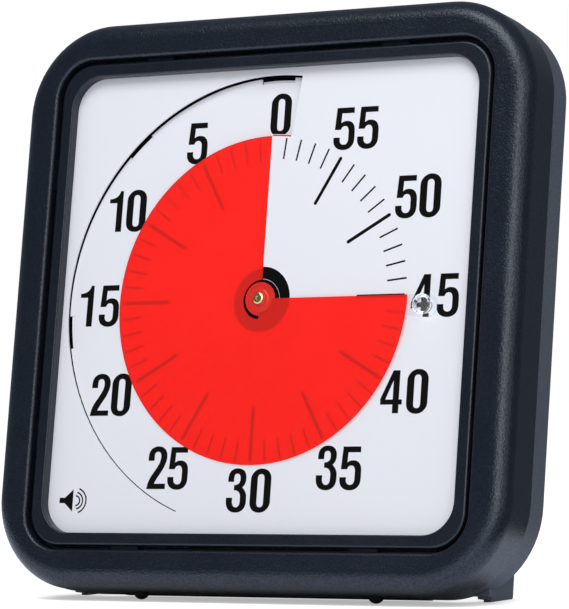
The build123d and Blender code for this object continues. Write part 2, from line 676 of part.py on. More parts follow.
with BuildPart() as train_plate:
    box(-13.5, moveHalfW - moveWall - 0.6, -27.6, moveTop - moveWall - 0.6, trainW - trainT, trainW,
        r=3.0)
    # clear of the lid's posts and of the centre
    for u, v in lidSpots:
        rod(u, v, trainW - 3, trainW + 2, 3.3, Mode.SUBTRACT)
    for u, v in (secondUV, thirdUV, rotorUV):
        rod(u, v, trainW - 3, trainW + 2, arborR + runGap, Mode.SUBTRACT)
    rod(0, 0, trainW - 3, trainW + 2, 4.5, Mode.SUBTRACT)
train_plate.part.label = "train_plate"
export_step(train_plate.part, "parts/train_plate.step")

with BuildPart() as circuit_board:
    box(-moveHalfW + moveWall + 0.5, moveHalfW - moveWall - 0.5, cellHigh + moveWall + 0.5,
        moveTop - moveWall - 0.5, boardW - boardT, boardW, r=2.4)
    for u, v in lidSpots:
        rod(u, v, boardW - 3, boardW + 2, 3.3, Mode.SUBTRACT)
circuit_board.part.label = "circuit_board"
export_step(circuit_board.part, "parts/circuit_board.step")

boardBack = boardW - boardT
with BuildPart() as crystal:
    with BuildSketch(sideways(24.0)):
        with Locations((boardBack - 1.4, 2.0)):
            Circle(1.3)
    extrude(amount=8.0)
crystal.part.label = "crystal"
export_step(crystal.part, "parts/crystal.step")

with BuildPart() as chip:
    turned([(0, boardBack), (4.6, boardBack), (4.0, boardBack - 0.9), (2.4, boardBack - 1.5),
            (0, boardBack - 1.7)], 14.0, 14.0)
chip.part.label = "chip"
export_step(chip.part, "parts/chip.step")

with BuildPart() as buzzer:
    rod(buzzerU, buzzerV, coverInner + 0.4, boardBack, buzzerR)
    rod(buzzerU, buzzerV, coverInner - 1, coverInner + 1.6, 1.2, Mode.SUBTRACT)
buzzer.part.label = "buzzer"
export_step(buzzer.part, "parts/buzzer.step")

with BuildPart() as switch_body:
    box(switchU - 6.5, switchU + 6.5, switchV - 3.5, switchV + 3.5, moveSeat - lidT, boardBack)
    box(switchU - 4.6, switchU + 4.6, switchV - 1.3, switchV + 1.3, moveSeat - lidT - 1,
        moveSeat - lidT + 1.8, Mode.SUBTRACT)
switch_body.part.label = "switch_body"
export_step(switch_body.part, "parts/switch_body.step")

switchTravel = 4.0
with BuildPart() as switch_knob:
    k = switchU - switchTravel / 2
    box(k - 2.0, k + 2.0, switchV - 1.0, switchV + 1.0, moveSeat - lidT - 0.2,
        moveSeat - lidT + 1.4)
    box(k - 2.0, k + 2.0, switchV - 2.0, switchV + 2.0, rearFace - 0.8, moveSeat - lidT - 0.2)
    for d in (-1.2, 0, 1.2):
        box(k + d - 0.25, k + d + 0.25, switchV - 3, switchV + 3, rearFace - 1, rearFace - 0.4,
            Mode.SUBTRACT)
switch_knob.part.label = "switch_knob"
export_step(switch_knob.part, "parts/switch_knob.step")

# ================================ cell and contacts ==============================================
with BuildPart() as battery:
    half = cellLength / 2
    spin = Axis(at(0, cellV, cellW), (1, 0, 0))
    with BuildSketch(upward(cellV)):
        with BuildLine():
            Polyline((-half, -cellW), (half, -cellW), (half, -cellW + 2.7), (half - 1.4, -cellW + 2.7),
                     (half - 1.4, -cellW + cellR - 0.7), (half - 2.1, -cellW + cellR),
                     (-half + 0.7, -cellW + cellR), (-half, -cellW + cellR - 0.7), close=True)
        make_face()
    revolve(axis=spin)
battery.part.label = "battery"
export_step(battery.part, "parts/battery.step")

contactT = 0.4
for sign, name in ((1, "contact_plus"), (-1, "contact_minus")):
    with BuildPart() as strip:
        a, b = sorted((sign * (bayHalf - 0.2), sign * (bayHalf - 0.2 - contactT)))
        box(a, b, cellV - 5.5, cellHigh - 0.2, moveSeat + 0.4, bayFloor - 0.3)
        a, b = sorted((sign * (bayHalf - 0.2), sign * (bayHalf - 4.2)))
        box(a, b, cellHigh - 1.2, cellHigh + moveWall + 5.0, boardBack - contactT, boardBack)
        box(*sorted((sign * (bayHalf - 0.2), sign * (bayHalf - 0.2 - contactT))), cellHigh - 1.2,
            cellHigh - 0.2, boardBack - contactT, boardBack)
        if sign > 0:
            a, b = sorted((half + 0.02, bayHalf - 0.2 - contactT + 0.1))
            with BuildSketch(sideways(b)):
                with Locations((cellW, cellV)):
                    Circle(2.2)
            extrude(amount=b - a)
        else:
            # conical spring against the flat end
            coils = 2.6
            reachU = bayHalf - 0.2 - contactT - half - 0.3
            start = Plane(origin=at(-(bayHalf - 0.2 - contactT + 0.15), cellV, cellW),
                          x_dir=vDir, z_dir=(1, 0, 0))
            path = start.location * Helix(reachU / coils, reachU, 4.0, mode=Mode.PRIVATE)
            with BuildSketch(Plane(origin=path @ 0, z_dir=path % 0)):
                Circle(0.3)
            sweep(path=path, is_frenet=True)
    strip.part.label = name
    export_step(strip.part, "parts/" + name + ".step")

# ================================ rear cover and what it carries =================================
coverR = cornerR - coverTaper
draftDeg = degrees(atan2(coverDraft, coverDepth))
rimIn = wall + snapGap + 1.6

with BuildPart() as cover_hollow:
    with BuildSketch(face(parting)):
        RectangleRounded(caseWidth - 2 * (coverTaper + coverWall),
                         caseHeight - 2 * (coverTaper + coverWall), coverR - coverWall)
    extrude(amount=-(coverDepth - coverWall), taper=draftDeg)

# locating rim inside the front frame, on a step in from the cover's wall
with BuildPart() as cover_rim:
    for w0, w1, edge, mode in ((parting - 2.0, parting, coverTaper + 1.0, Mode.ADD),
                               (parting - 0.5, parting + 2.0, wall + snapGap, Mode.ADD),
                               (parting - 3.0, parting + 3.0, rimIn, Mode.SUBTRACT)):
        slab(w0, w1, caseWidth - 2 * edge, caseHeight - 2 * edge, cornerR - edge, mode)

with BuildPart() as rear_cover:
    with BuildSketch(face(parting)):
        RectangleRounded(caseWidth - 2 * coverTaper, caseHeight - 2 * coverTaper, coverR)
    extrude(amount=-coverDepth, taper=draftDeg)
    fillet(rear_cover.edges().group_by(wAxis())[0], coverEdgeR)
    add(cover_hollow.part, mode=Mode.SUBTRACT)
    add(cover_rim.part)
    # posts for the case screws
    for u, v in caseSpots:
        rod(u, v, coverInner - 0.5, parting - 0.2, bossR + 1.0)
    # pockets for the folding feet
    for s in (-1, 1):
        inU, outU = footPinU - footReach - footPinIn - 1.2, footPinU + barrelR + 0.5
        a, b = sorted((s * (inU - 2), s * (outU + 2)))
        box(a, b, -halfH + coverTaper + coverWall, recessTop + 4.5, coverInner - 0.5,
            recessFloor + 2.0)
        a, b = sorted((s * inU, s * outU))
        box(a, b, barrelLowV - 0.5, recessTop, rearFace - 1, recessFloor, Mode.SUBTRACT)
        a, b = sorted((s * inU, s * footPinU))
        box(a, b, -halfH - 5, barrelLowV, rearFace - 1, recessFloor, Mode.SUBTRACT)
        knuckleLow = -halfH + coverTaper + 1.6
        with BuildSketch(upward(knuckleLow, s * footPinU)):
            with Locations((0, -pinW)):
                Circle(footPinIn)
        extrude(amount=barrelLowV - 0.5 - knuckleLow)
        with BuildSketch(upward(-halfH + coverTaper + 2.4, s * footPinU)):
            with Locations((0, -pinW)):
                Circle(pinR + 0.02)
        extrude(amount=recessTop + 3.0 + halfH - coverTaper - 2.4, mode=Mode.SUBTRACT)
    # window for the cell, with a ledge that the door shuts on and a collar down to the movement
    box(-doorHalfU - 2.2, doorHalfU + 2.2, doorBottom - 2.4, doorTop + 2.4, coverInner - 0.5,
        moveSeat - lidT - 0.3, r=2.0)
    box(-doorHalfU - snapGap, doorHalfU + snapGap, doorBottom - snapGap, doorTop + snapGap,
        rearFace - 1, rearFace + doorT + 0.1, Mode.SUBTRACT)
    box(-bayHalf, bayHalf, cellLow, cellHigh, rearFace - 1, moveSeat + 2, Mode.SUBTRACT)
    # sound holes
    with BuildSketch(face(rearFace - 1, buzzerU, buzzerV)):
        Circle(0.9)
        with PolarLocations(3.0, 6):
            Circle(0.9)
        with PolarLocations(6.0, 12):
            Circle(0.9)
    extrude(amount=coverWall + 2, mode=Mode.SUBTRACT)
    # slot for the sound switch
    box(switchU - 4.4, switchU + 4.4, switchV - 2.3, switchV + 2.3, rearFace - 1, coverInner + 1,
        Mode.SUBTRACT)
    # keyhole for a wall screw
    rod(0, halfH - 36.0, rearFace - 1, coverInner + 1, 5.0, Mode.SUBTRACT)
    with BuildSketch(face(rearFace - 1, 0, halfH - 31.5)):
        SlotOverall(14.0, 5.0, rotation=90)
    extrude(amount=coverWall + 2, mode=Mode.SUBTRACT)
    # cups for the magnets
    for u, v in magnetSpots:
        rod(u, v, coverInner - 0.5, rearFace + magnetT + 1.9, magnetR + 1.8)
    for u, v in magnetSpots:
        rod(u, v, rearFace - 1, rearFace + magnetT + 0.3, magnetR + fitGap, Mode.SUBTRACT)
    for u, v in caseSpots:
        rod(u, v, rearFace - 1, rearFace + 9.0, 3.2, Mode.SUBTRACT)
        rod(u, v, rearFace - 1, parting + 1, screwR + fitGap, Mode.SUBTRACT)
rear_cover.part.label = "rear_cover"
export_step(rear_cover.part, "parts/rear_cover.step")

with BuildPart() as case_screws:
    seat = rearFace + 9.0
    for u, v in caseSpots:
        rod(u, v, seat - 2.0, seat, 2.8)
        rod(u, v, seat, parting + 14, screwR)
    for u, v in caseSpots:
        box(u - 1.9, u + 1.9, v - 0.35, v + 0.35, seat - 2.1, seat - 0.9, Mode.SUBTRACT)
        box(u - 0.35, u + 0.35, v - 1.9, v + 1.9, seat - 2.1, seat - 0.9, Mode.SUBTRACT)
case_screws.part.label = "case_screws"
export_step(case_screws.part, "parts/case_screws.step")

with BuildPart() as front_feet:
    for u in (-bumpU, bumpU):
        with Locations(Location(at(u, bumpV, bumpW))):
            Sphere(bumpR)
    with BuildSketch(upward(-halfH)):
        Rectangle(caseWidth, 80)
    extrude(amount=20, mode=Mode.SUBTRACT)
    for u in (-bumpU, bumpU):
        with BuildSketch(upward(-halfH - 0.5, u)):
            with Locations((0, -bumpW)):
                Circle(2.0)
        extrude(amount=wall + 1.2)
front_feet.part.label = "front_feet"
export_step(front_feet.part, "parts/front_feet.step")

for s, side in ((1, "right"), (-1, "left")):
    with BuildPart() as foot:
        back = rearFace - footReach
        with BuildSketch(sideways(s * footPinU)):
            with BuildLine():
                Polyline((pinW, footTopV), (rearFace - 0.6 * footReach, footTopV - 1.0),
                         (back, footTopV - 16.0), (back, floorLine[1][1]), floorLine[0],
                         (pinW - 4.2, barrelLowV), (pinW, barrelLowV), close=True)
            make_face()
        extrude(amount=footT / 2, both=True)
        with BuildSketch(upward(barrelLowV, s * footPinU)):
            with Locations((0, -pinW)):
                Circle(barrelR)
        extrude(amount=footTopV - barrelLowV)
        with BuildSketch(upward(barrelLowV - 1, s * footPinU)):
            with Locations((0, -pinW)):
                Circle(pinR + runGap)
        extrude(amount=footTopV - barrelLowV + 2, mode=Mode.SUBTRACT)
        rear = foot.edges().filter_by(Axis.X).sort_by(wAxis())[0:2]
        fillet(rear, 1.5)
    foot.part.label = "stand_foot_" + side
    export_step(foot.part, "parts/stand_foot_" + side + ".step")
    with BuildPart() as pin:
        with BuildSketch(upward(-halfH + coverTaper + 2.6, s * footPinU)):
            with Locations((0, -pinW)):
                Circle(pinR)
        extrude(amount=recessTop + 2.6 + halfH - coverTaper - 2.6)
    pin.part.label = "hinge_pin_" + side
    export_step(pin.part, "parts/hinge_pin_" + side + ".step")

doorAxisV = doorBottom + 1.0
doorMid = rearFace + doorT / 2
with BuildPart() as battery_door:
    box(-doorHalfU, doorHalfU, doorAxisV, doorTop, rearFace, rearFace + doorT)
    with BuildSketch(sideways(doorHalfU)):
        with Locations((doorMid, doorAxisV)):
            Circle(doorT / 2)
    extrude(amount=2 * doorHalfU)
    box(-7, 7, doorTop - 5.5, doorTop - 1.5, rearFace - 0.5, rearFace + 0.7, Mode.SUBTRACT, r=1.9)
battery_door.part.label = "battery_door"
export_step(battery_door.part, "parts/battery_door.step")

with BuildPart() as magnets:
    for u, v in magnetSpots:
        rod(u, v, rearFace + 0.15, rearFace + 0.15 + magnetT, magnetR)
magnets.part.label = "magnets"
export_step(magnets.part, "parts/magnets.step")

print("dial hub", round(hubY, 3), round(hubZ, 3))
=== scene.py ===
import json
import math

import bmesh
import bpy
from mathutils import Matrix, Vector


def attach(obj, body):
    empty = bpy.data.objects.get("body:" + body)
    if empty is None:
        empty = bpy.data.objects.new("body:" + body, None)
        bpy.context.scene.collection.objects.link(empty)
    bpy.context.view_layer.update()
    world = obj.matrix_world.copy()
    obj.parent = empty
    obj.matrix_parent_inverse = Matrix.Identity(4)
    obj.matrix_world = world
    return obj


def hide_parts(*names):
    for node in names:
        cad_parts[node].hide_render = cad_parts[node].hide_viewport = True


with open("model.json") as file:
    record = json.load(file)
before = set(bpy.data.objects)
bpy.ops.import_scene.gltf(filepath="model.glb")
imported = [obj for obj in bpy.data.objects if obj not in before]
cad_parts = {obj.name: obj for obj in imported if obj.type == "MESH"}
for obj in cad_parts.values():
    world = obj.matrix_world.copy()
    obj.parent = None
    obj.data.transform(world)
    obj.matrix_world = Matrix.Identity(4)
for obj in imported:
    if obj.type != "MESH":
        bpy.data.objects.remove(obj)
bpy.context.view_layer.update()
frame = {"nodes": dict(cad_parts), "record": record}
nodes = frame["nodes"]
print("stage: frame loaded,", len(nodes), "nodes")

mm = 0.001

# The dial leans back. u runs right, v up the dial, w out of it, all in mm from the disc's centre.
dial = {
    "lean": math.radians(10.0),
    "hubY": -15.856,
    "hubZ": 156.9212,
    "filmRadius": 87.4,
    "flapRadius": 119.3,
    "flapDrop": 3.3,
    "flapEnd": 159.0,
    "flapLead": 7.7,
    "leadRadius": 86.5,
    "holeRadius": 17.3,
}
sinLean, cosLean = math.sin(dial["lean"]), math.cos(dial["lean"])
outOfDial = Vector((0, -cosLean, sinLean))


def onDial(u, v, w):
    return Vector((u, dial["hubY"] + v * sinLean - w * cosLean,
                   dial["hubZ"] + v * cosLean + w * sinLean)) * mm


def sheetHeight(u, v):
    # the pressed-back flap winds up from its deepest at 0 until it meets the flat sheet
    r = math.hypot(u, v)
    turn = math.degrees(math.atan2(-u, v))
    onFlap = dial["holeRadius"] < r < dial["flapRadius"] and 0 <= turn <= dial["flapEnd"]
    onLead = dial["leadRadius"] < r < dial["flapRadius"] and -dial["flapLead"] <= turn < 0
    if onFlap or onLead:
        return dial["flapDrop"] * (turn / dial["flapEnd"] - 1)
    return 0.0


def polar(r, turn):
    a = math.radians(turn)
    return -r * math.sin(a), r * math.cos(a)


def spread(start, end, steps):
    return [start + (end - start) * k / steps for k in range(steps + 1)]


def colour(hexText):
    parts = [int(hexText[i:i + 2], 16) / 255 for i in (1, 3, 5)]
    return [c / 12.92 if c <= 0.04045 else ((c + 0.055) / 1.055) ** 2.4 for c in parts] + [1.0]


def add(tree, kind, settings=None, inputs=None):
    made = tree.nodes.new(kind)
    for key, value in (settings or {}).items():
        setattr(made, key, value)
    for key, value in (inputs or {}).items():
        if isinstance(value, bpy.types.NodeSocket):
            tree.links.new(value, made.inputs[key])
        else:
            made.inputs[key].default_value = value
    return made


def startMaterial(name):
    material = bpy.data.materials.new(name)
    material.use_nodes = True
    tree = material.node_tree
    tree.nodes.clear()
    place = add(tree, "ShaderNodeTexCoord").outputs["Object"]
    return material, tree, place


def finishMaterial(tree, shader):
    add(tree, "ShaderNodeOutputMaterial", None, {"Surface": shader.outputs[0]})


def mouldedPlastic(name, look):
    # moulded plastic: the tool's spark texture breaks highlights into fine grain and sparkle,
    # and flow lines and handling shift its shade and gloss a little over a hand's width
    material, tree, place = startMaterial(name)
    grain = add(tree, "ShaderNodeTexNoise", None, {
        "Vector": place, "Scale": 1 / (look["grainMm"] * mm), "Detail": 1.5, "Roughness": 0.5})
    drift = add(tree, "ShaderNodeTexNoise", None, {
        "Vector": place, "Scale": 1 / (look["driftMm"] * mm), "Detail": 2.0})
    tint = add(tree, "ShaderNodeMix", {"data_type": "RGBA"}, {
        "Factor": drift.outputs["Fac"], 6: colour(look["dark"]), 7: colour(look["light"])})
    speck = add(tree, "ShaderNodeMapRange", None, {
        "Value": grain.outputs["Fac"], "From Min": 0.35, "From Max": 0.7,
        "To Min": 1 - look["speck"], "To Max": 1 + look["speck"]})
    shade = add(tree, "ShaderNodeMix", {"data_type": "RGBA", "blend_type": "MULTIPLY"}, {
        "Factor": 1.0, 6: tint.outputs[2], 7: speck.outputs[0]})
    gloss = add(tree, "ShaderNodeMapRange", None, {
        "Value": drift.outputs["Fac"], "From Min": 0.3, "From Max": 0.7,
        "To Min": look["rough"] - 0.04, "To Max": look["rough"] + 0.05})
    bump = add(tree, "ShaderNodeBump", None, {
        "Height": grain.outputs["Fac"], "Strength": look["bump"],
        "Distance": look["deepMm"] * mm})
    sparkle = add(tree, "ShaderNodeMapRange", None, {
        "Value": grain.outputs["Fac"], "From Min": 0.38, "From Max": 0.62,
        "To Min": look["specular"] * (1 - look.get("sparkle", 0)),
        "To Max": look["specular"] * (1 + look.get("sparkle", 0))})
    shader = add(tree, "ShaderNodeBsdfPrincipled", None, {
        "Base Color": shade.outputs[2], "Roughness": gloss.outputs[0], "Normal": bump.outputs[0],
        "Specular IOR Level": sparkle.outputs[0], "IOR": 1.5,
        "Specular Tint": colour(look.get("sheen", "#FFFFFF"))})
    finishMaterial(tree, shader)
    return material


# charcoal ABS shell: coarse enough grain to sparkle in the soft box's reflection
framePlastic = mouldedPlastic("charcoalTexturedAbs", {
    "dark": "#0F151E", "light": "#141A25", "grainMm": 0.95, "driftMm": 60, "speck": 0.06,
    "rough": 0.27, "bump": 1.0, "deepMm": 0.21, "specular": 0.5, "sheen": "#E8F2FF",
    "sparkle": 0.24})
# the snapped-in ring has a slightly finer grain, so its edges draw thinner highlights
ringPlastic = mouldedPlastic("charcoalRingAbs", {
    "dark": "#0F151E", "light": "#141A24", "grainMm": 0.8, "driftMm": 50, "speck": 0.12,
    "rough": 0.3, "bump": 0.8, "deepMm": 0.1, "specular": 0.5, "sheen": "#E8F2FF",
    "sparkle": 0.2})
# rear shell: the same resin, matter and with a greyer texture; its base is painted lighter,
# painted light standing in for the reflection that lightens its side band
coverPaintedLighter = mouldedPlastic("charcoalMattAbsPaintedLighter", {
    "dark": "#4F5661", "light": "#565D68", "grainMm": 1.0, "driftMm": 70, "speck": 0.16,
    "rough": 0.55, "bump": 0.8, "deepMm": 0.12, "specular": 0.4, "sheen": "#EDF4FF"})
panelPlastic = mouldedPlastic("blackSheetPs", {
    "dark": "#070708", "light": "#0B0B0C", "grainMm": 0.9, "driftMm": 40, "speck": 0.05,
    "rough": 0.6, "bump": 0.2, "deepMm": 0.03, "specular": 0.06})
caseBlack = mouldedPlastic("blackMovementAbs", {
    "dark": "#121314", "light": "#191A1C", "grainMm": 0.4, "driftMm": 30, "speck": 0.06,
    "rough": 0.46, "bump": 0.3, "deepMm": 0.03, "specular": 0.4})
gearPlastic = mouldedPlastic("whiteAcetal", {
    "dark": "#DEDCD2", "light": "#EAE8DF", "grainMm": 0.8, "driftMm": 15, "speck": 0.02,
    "rough": 0.35, "bump": 0.1, "deepMm": 0.02, "specular": 0.5})
hubRed = mouldedPlastic("redMouldedAbs", {
    "dark": "#D81F18", "light": "#E62A20", "grainMm": 0.35, "driftMm": 12, "speck": 0.05,
    "rough": 0.34, "bump": 0.35, "deepMm": 0.03, "specular": 0.5})
footRubber = mouldedPlastic("blackRubberTpe", {
    "dark": "#131416", "light": "#1C1D20", "grainMm": 0.7, "driftMm": 12, "speck": 0.1,
    "rough": 0.72, "bump": 0.4, "deepMm": 0.04, "specular": 0.3})
dialPlastic = mouldedPlastic("whiteSatinSheet", {
    "dark": "#E5E8F2", "light": "#E9EBF4", "grainMm": 1.1, "driftMm": 90, "speck": 0.004,
    "rough": 0.42, "bump": 0.12, "deepMm": 0.02, "specular": 0.35})
chipBlack = mouldedPlastic("blackEpoxy", {
    "dark": "#0E0E0F", "light": "#151516", "grainMm": 0.3, "driftMm": 5, "speck": 0.08,
    "rough": 0.3, "bump": 0.2, "deepMm": 0.02, "specular": 0.5})


filmTexture = {"waveMm": 25, "fineMm": 0.8, "rimFadeMm": 0.12}


def filmMaterial(name, look):
    # calendered PVC film: its pigment scatters some light itself and lets the print show as a
    # darker red; faint waves in the sheet soften what it mirrors. Its cut edge and a hair's width
    # beside it are painted darker, painted shade for the dark line the edge shows. A thin film
    # hardly shades the sheet below, so light passes it
    material, tree, place = startMaterial(name)
    wave = add(tree, "ShaderNodeTexNoise", None, {
        "Vector": place, "Scale": 1 / (filmTexture["waveMm"] * mm), "Detail": 2.0})
    fine = add(tree, "ShaderNodeTexNoise", None, {
        "Vector": place, "Scale": 1 / (filmTexture["fineMm"] * mm), "Detail": 2.0})
    tint = add(tree, "ShaderNodeMix", {"data_type": "RGBA"}, {
        "Factor": wave.outputs["Fac"], 6: colour(look["dark"]), 7: colour(look["light"])})
    bump = add(tree, "ShaderNodeBump", None, {
        "Height": fine.outputs["Fac"], "Strength": 0.15, "Distance": 0.02 * mm})
    facing = add(tree, "ShaderNodeVectorMath", {"operation": "DOT_PRODUCT"}, {
        0: add(tree, "ShaderNodeNewGeometry").outputs["True Normal"], 1: tuple(outOfDial)})
    flat = add(tree, "ShaderNodeMath", {"operation": "ABSOLUTE"}, {0: facing.outputs["Value"]})
    wall = add(tree, "ShaderNodeMapRange", None, {
        "Value": flat.outputs[0], "From Min": 0.4, "From Max": 0.7, "To Min": 1.0, "To Max": 0.0})
    arm = add(tree, "ShaderNodeVectorMath", {"operation": "SUBTRACT"}, {
        0: place, 1: tuple(onDial(0, 0, 0))})
    across = add(tree, "ShaderNodeVectorMath", {"operation": "CROSS_PRODUCT"}, {
        0: arm.outputs[0], 1: tuple(outOfDial)})
    radius = add(tree, "ShaderNodeVectorMath", {"operation": "LENGTH"}, {0: across.outputs[0]})
    rim = add(tree, "ShaderNodeMapRange", None, {
        "Value": radius.outputs["Value"], "From Min": look["rimFrom"] * mm,
        "From Max": (look["rimFrom"] + filmTexture["rimFadeMm"]) * mm, "To Max": look["rim"]})
    edge = add(tree, "ShaderNodeMath", {"operation": "MAXIMUM"}, {
        0: wall.outputs[0], 1: rim.outputs[0]})
    # painted shade: the cut edge's walls and a hair's width of the top beside it take a darker
    # colour
    edgeShadeTint = add(tree, "ShaderNodeMix", {"data_type": "RGBA"}, {
        "Factor": edge.outputs[0], 6: tint.outputs[2], 7: colour(look["edge"])})
    solid = add(tree, "ShaderNodeMapRange", None, {
        "Value": edge.outputs[0], "To Min": look["solid"], "To Max": 0.9})
    unlit = add(tree, "ShaderNodeMath", {"operation": "SUBTRACT"}, {
        0: 1.0, 1: add(tree, "ShaderNodeLightPath").outputs["Is Shadow Ray"]})
    share = add(tree, "ShaderNodeMath", {"operation": "MULTIPLY"}, {
        0: solid.outputs[0], 1: unlit.outputs[0]})
    body = add(tree, "ShaderNodeBsdfPrincipled", None, {
        "Base Color": edgeShadeTint.outputs[2], "Roughness": look["rough"], "Normal": bump.outputs[0],
        "Specular IOR Level": look["specular"]})
    cast = add(tree, "ShaderNodeMix", {"data_type": "RGBA"}, {
        "Factor": unlit.outputs[0], 6: colour(look["cast"]), 7: colour(look["through"])})
    clear = add(tree, "ShaderNodeBsdfTransparent", None, {"Color": cast.outputs[2]})
    shader = add(tree, "ShaderNodeMixShader", None, {
        0: share.outputs[0], 1: clear.outputs[0], 2: body.outputs[0]})
    finishMaterial(tree, shader)
    return material


# its cut edge and rim are painted a darker red: painted shade
filmRed = filmMaterial("redPvcFilm", {
    "dark": "#FF372F", "light": "#FF3F37", "through": "#FF6058", "solid": 0.40, "rough": 0.4,
    "specular": 0.25, "edge": "#B01410", "rimFrom": 86.95, "rim": 0.55, "cast": "#FFE6E3"})
# the clear tab has no darker rim, so its rim starts beyond its own size; its cut edge's walls are
# still painted grey, painted shade that draws its outline
filmClear = filmMaterial("clearPetFilm", {
    "dark": "#F4F6F8", "light": "#FFFFFF", "through": "#FAFBFC", "solid": 0.014, "rough": 0.12,
    "specular": 0.5, "edge": "#7C8083", "rimFrom": 400, "rim": 0.0, "cast": "#FFFFFF"})


def clearMoulding(name, look):
    # clear moulded polycarbonate: bends what lies under it, with a soft gate mark's ripple, and
    # lets nearly all the light on to the sheet behind it
    material, tree, place = startMaterial(name)
    ripple = add(tree, "ShaderNodeTexNoise", None, {
        "Vector": place, "Scale": 1 / (look["rippleMm"] * mm), "Detail": 1.0})
    bump = add(tree, "ShaderNodeBump", None, {
        "Height": ripple.outputs["Fac"], "Strength": 0.2, "Distance": look["deepMm"] * mm})
    shader = add(tree, "ShaderNodeBsdfPrincipled", None, {
        "Base Color": colour(look["tint"]), "Roughness": look["rough"], "IOR": 1.58,
        "Transmission Weight": 1.0, "Normal": bump.outputs[0]})
    lit = add(tree, "ShaderNodeMath", {"operation": "MULTIPLY"}, {
        0: add(tree, "ShaderNodeLightPath").outputs["Is Shadow Ray"], 1: look["letsBy"]})
    clear = add(tree, "ShaderNodeBsdfTransparent")
    both = add(tree, "ShaderNodeMixShader", None, {
        0: lit.outputs[0], 1: shader.outputs[0], 2: clear.outputs[0]})
    finishMaterial(tree, both)
    return material


knobClear = clearMoulding("clearPolycarbonate", {
    "tint": "#F8FAFA", "rough": 0.04, "rippleMm": 2.5, "deepMm": 0.05, "letsBy": 0.9})


def metal(name, look):
    # turned or drawn metal: fine tool lines along one direction stretch the highlight
    material, tree, place = startMaterial(name)
    stretch = add(tree, "ShaderNodeMapping", {"vector_type": "POINT"}, {
        "Vector": place, "Scale": look["stretch"]})
    lines = add(tree, "ShaderNodeTexNoise", None, {
        "Vector": stretch.outputs[0], "Scale": 1 / (look["lineMm"] * mm), "Detail": 3.0})
    tint = add(tree, "ShaderNodeMix", {"data_type": "RGBA"}, {
        "Factor": lines.outputs["Fac"], 6: colour(look["dark"]), 7: colour(look["light"])})
    gloss = add(tree, "ShaderNodeMapRange", None, {
        "Value": lines.outputs["Fac"], "To Min": look["rough"] - 0.06,
        "To Max": look["rough"] + 0.08})
    bump = add(tree, "ShaderNodeBump", None, {
        "Height": lines.outputs["Fac"], "Strength": 0.3, "Distance": 0.01 * mm})
    shader = add(tree, "ShaderNodeBsdfPrincipled", None, {
        "Base Color": tint.outputs[2], "Metallic": 1.0, "Roughness": gloss.outputs[0],
        "Normal": bump.outputs[0]})
    finishMaterial(tree, shader)
    return material


brass = metal("turnedBrass", {
    "dark": "#C2A561", "light": "#E3D09A", "rough": 0.22, "lineMm": 0.5, "stretch": (1, 1, 1)})
steel = metal("zincPlatedSteel", {
    "dark": "#A9ACB0", "light": "#C8CBCF", "rough": 0.32, "lineMm": 0.3, "stretch": (1, 6, 1)})
springSteel = metal("nickelSpringSteel", {
    "dark": "#9DA0A4", "light": "#C2C4C6", "rough": 0.26, "lineMm": 0.25, "stretch": (1, 1, 8)})
magnetPlate = metal("nickelPlatedNeodymium", {
    "dark": "#B4B6B8", "light": "#CFD1D3", "rough": 0.22, "lineMm": 0.5, "stretch": (1, 1, 1)})
iron = metal("annealedSoftIron", {
    "dark": "#77787A", "light": "#8F9092", "rough": 0.42, "lineMm": 0.3, "stretch": (1, 9, 1)})


def plainStuff(name, look):
    # rough-pressed or coated stuff inside the case, with mottling at its own grain size
    material, tree, place = startMaterial(name)
    mottle = add(tree, "ShaderNodeTexVoronoi", None, {
        "Vector": place, "Scale": 1 / (look["grainMm"] * mm)})
    tint = add(tree, "ShaderNodeMix", {"data_type": "RGBA"}, {
        "Factor": mottle.outputs["Distance"], 6: colour(look["dark"]), 7: colour(look["light"])})
    bump = add(tree, "ShaderNodeBump", None, {
        "Height": mottle.outputs["Distance"], "Strength": 0.3, "Distance": 0.02 * mm})
    shader = add(tree, "ShaderNodeBsdfPrincipled", None, {
        "Base Color": tint.outputs[2], "Roughness": look["rough"], "Normal": bump.outputs[0],
        "Metallic": look["metallic"]})
    finishMaterial(tree, shader)
    return material


magnetGrey = plainStuff("sinteredFerrite", {
    "dark": "#2B2C2E", "light": "#3A3B3D", "grainMm": 0.5, "rough": 0.55, "metallic": 0.0})
copper = plainStuff("enamelledCopperWire", {
    "dark": "#8A3E1E", "light": "#C9703C", "grainMm": 0.2, "rough": 0.3, "metallic": 1.0})
board = plainStuff("greenGlassEpoxy", {
    "dark": "#1C5A36", "light": "#23683F", "grainMm": 0.7, "rough": 0.4, "metallic": 0.0})
cellWrap = plainStuff("shrunkPvcSleeve", {
    "dark": "#2A2C31", "light": "#303339", "grainMm": 3.0, "rough": 0.3, "metallic": 0.0})


screenMeshMm = 0.35


def inkMaterial(name, dark, light):
    # screen-printed ink: dense, a little warm, matter than the sheet, and thin enough that the
    # screen's mesh leaves a faint texture
    material, tree, place = startMaterial(name)
    mesh = add(tree, "ShaderNodeTexNoise", None, {
        "Vector": place, "Scale": 1 / (screenMeshMm * mm), "Detail": 2.0})
    tint = add(tree, "ShaderNodeMix", {"data_type": "RGBA"}, {
        "Factor": mesh.outputs["Fac"], 6: colour(dark), 7: colour(light)})
    shader = add(tree, "ShaderNodeBsdfPrincipled", None, {
        "Base Color": tint.outputs[2], "Roughness": 0.6, "Specular IOR Level": 0.03})
    finishMaterial(tree, shader)
    return material


blackInk = inkMaterial("blackScreenInk", "#100F0F", "#141212")
greyInk = inkMaterial("paleGreyPadInk", "#8C9196", "#989DA2")

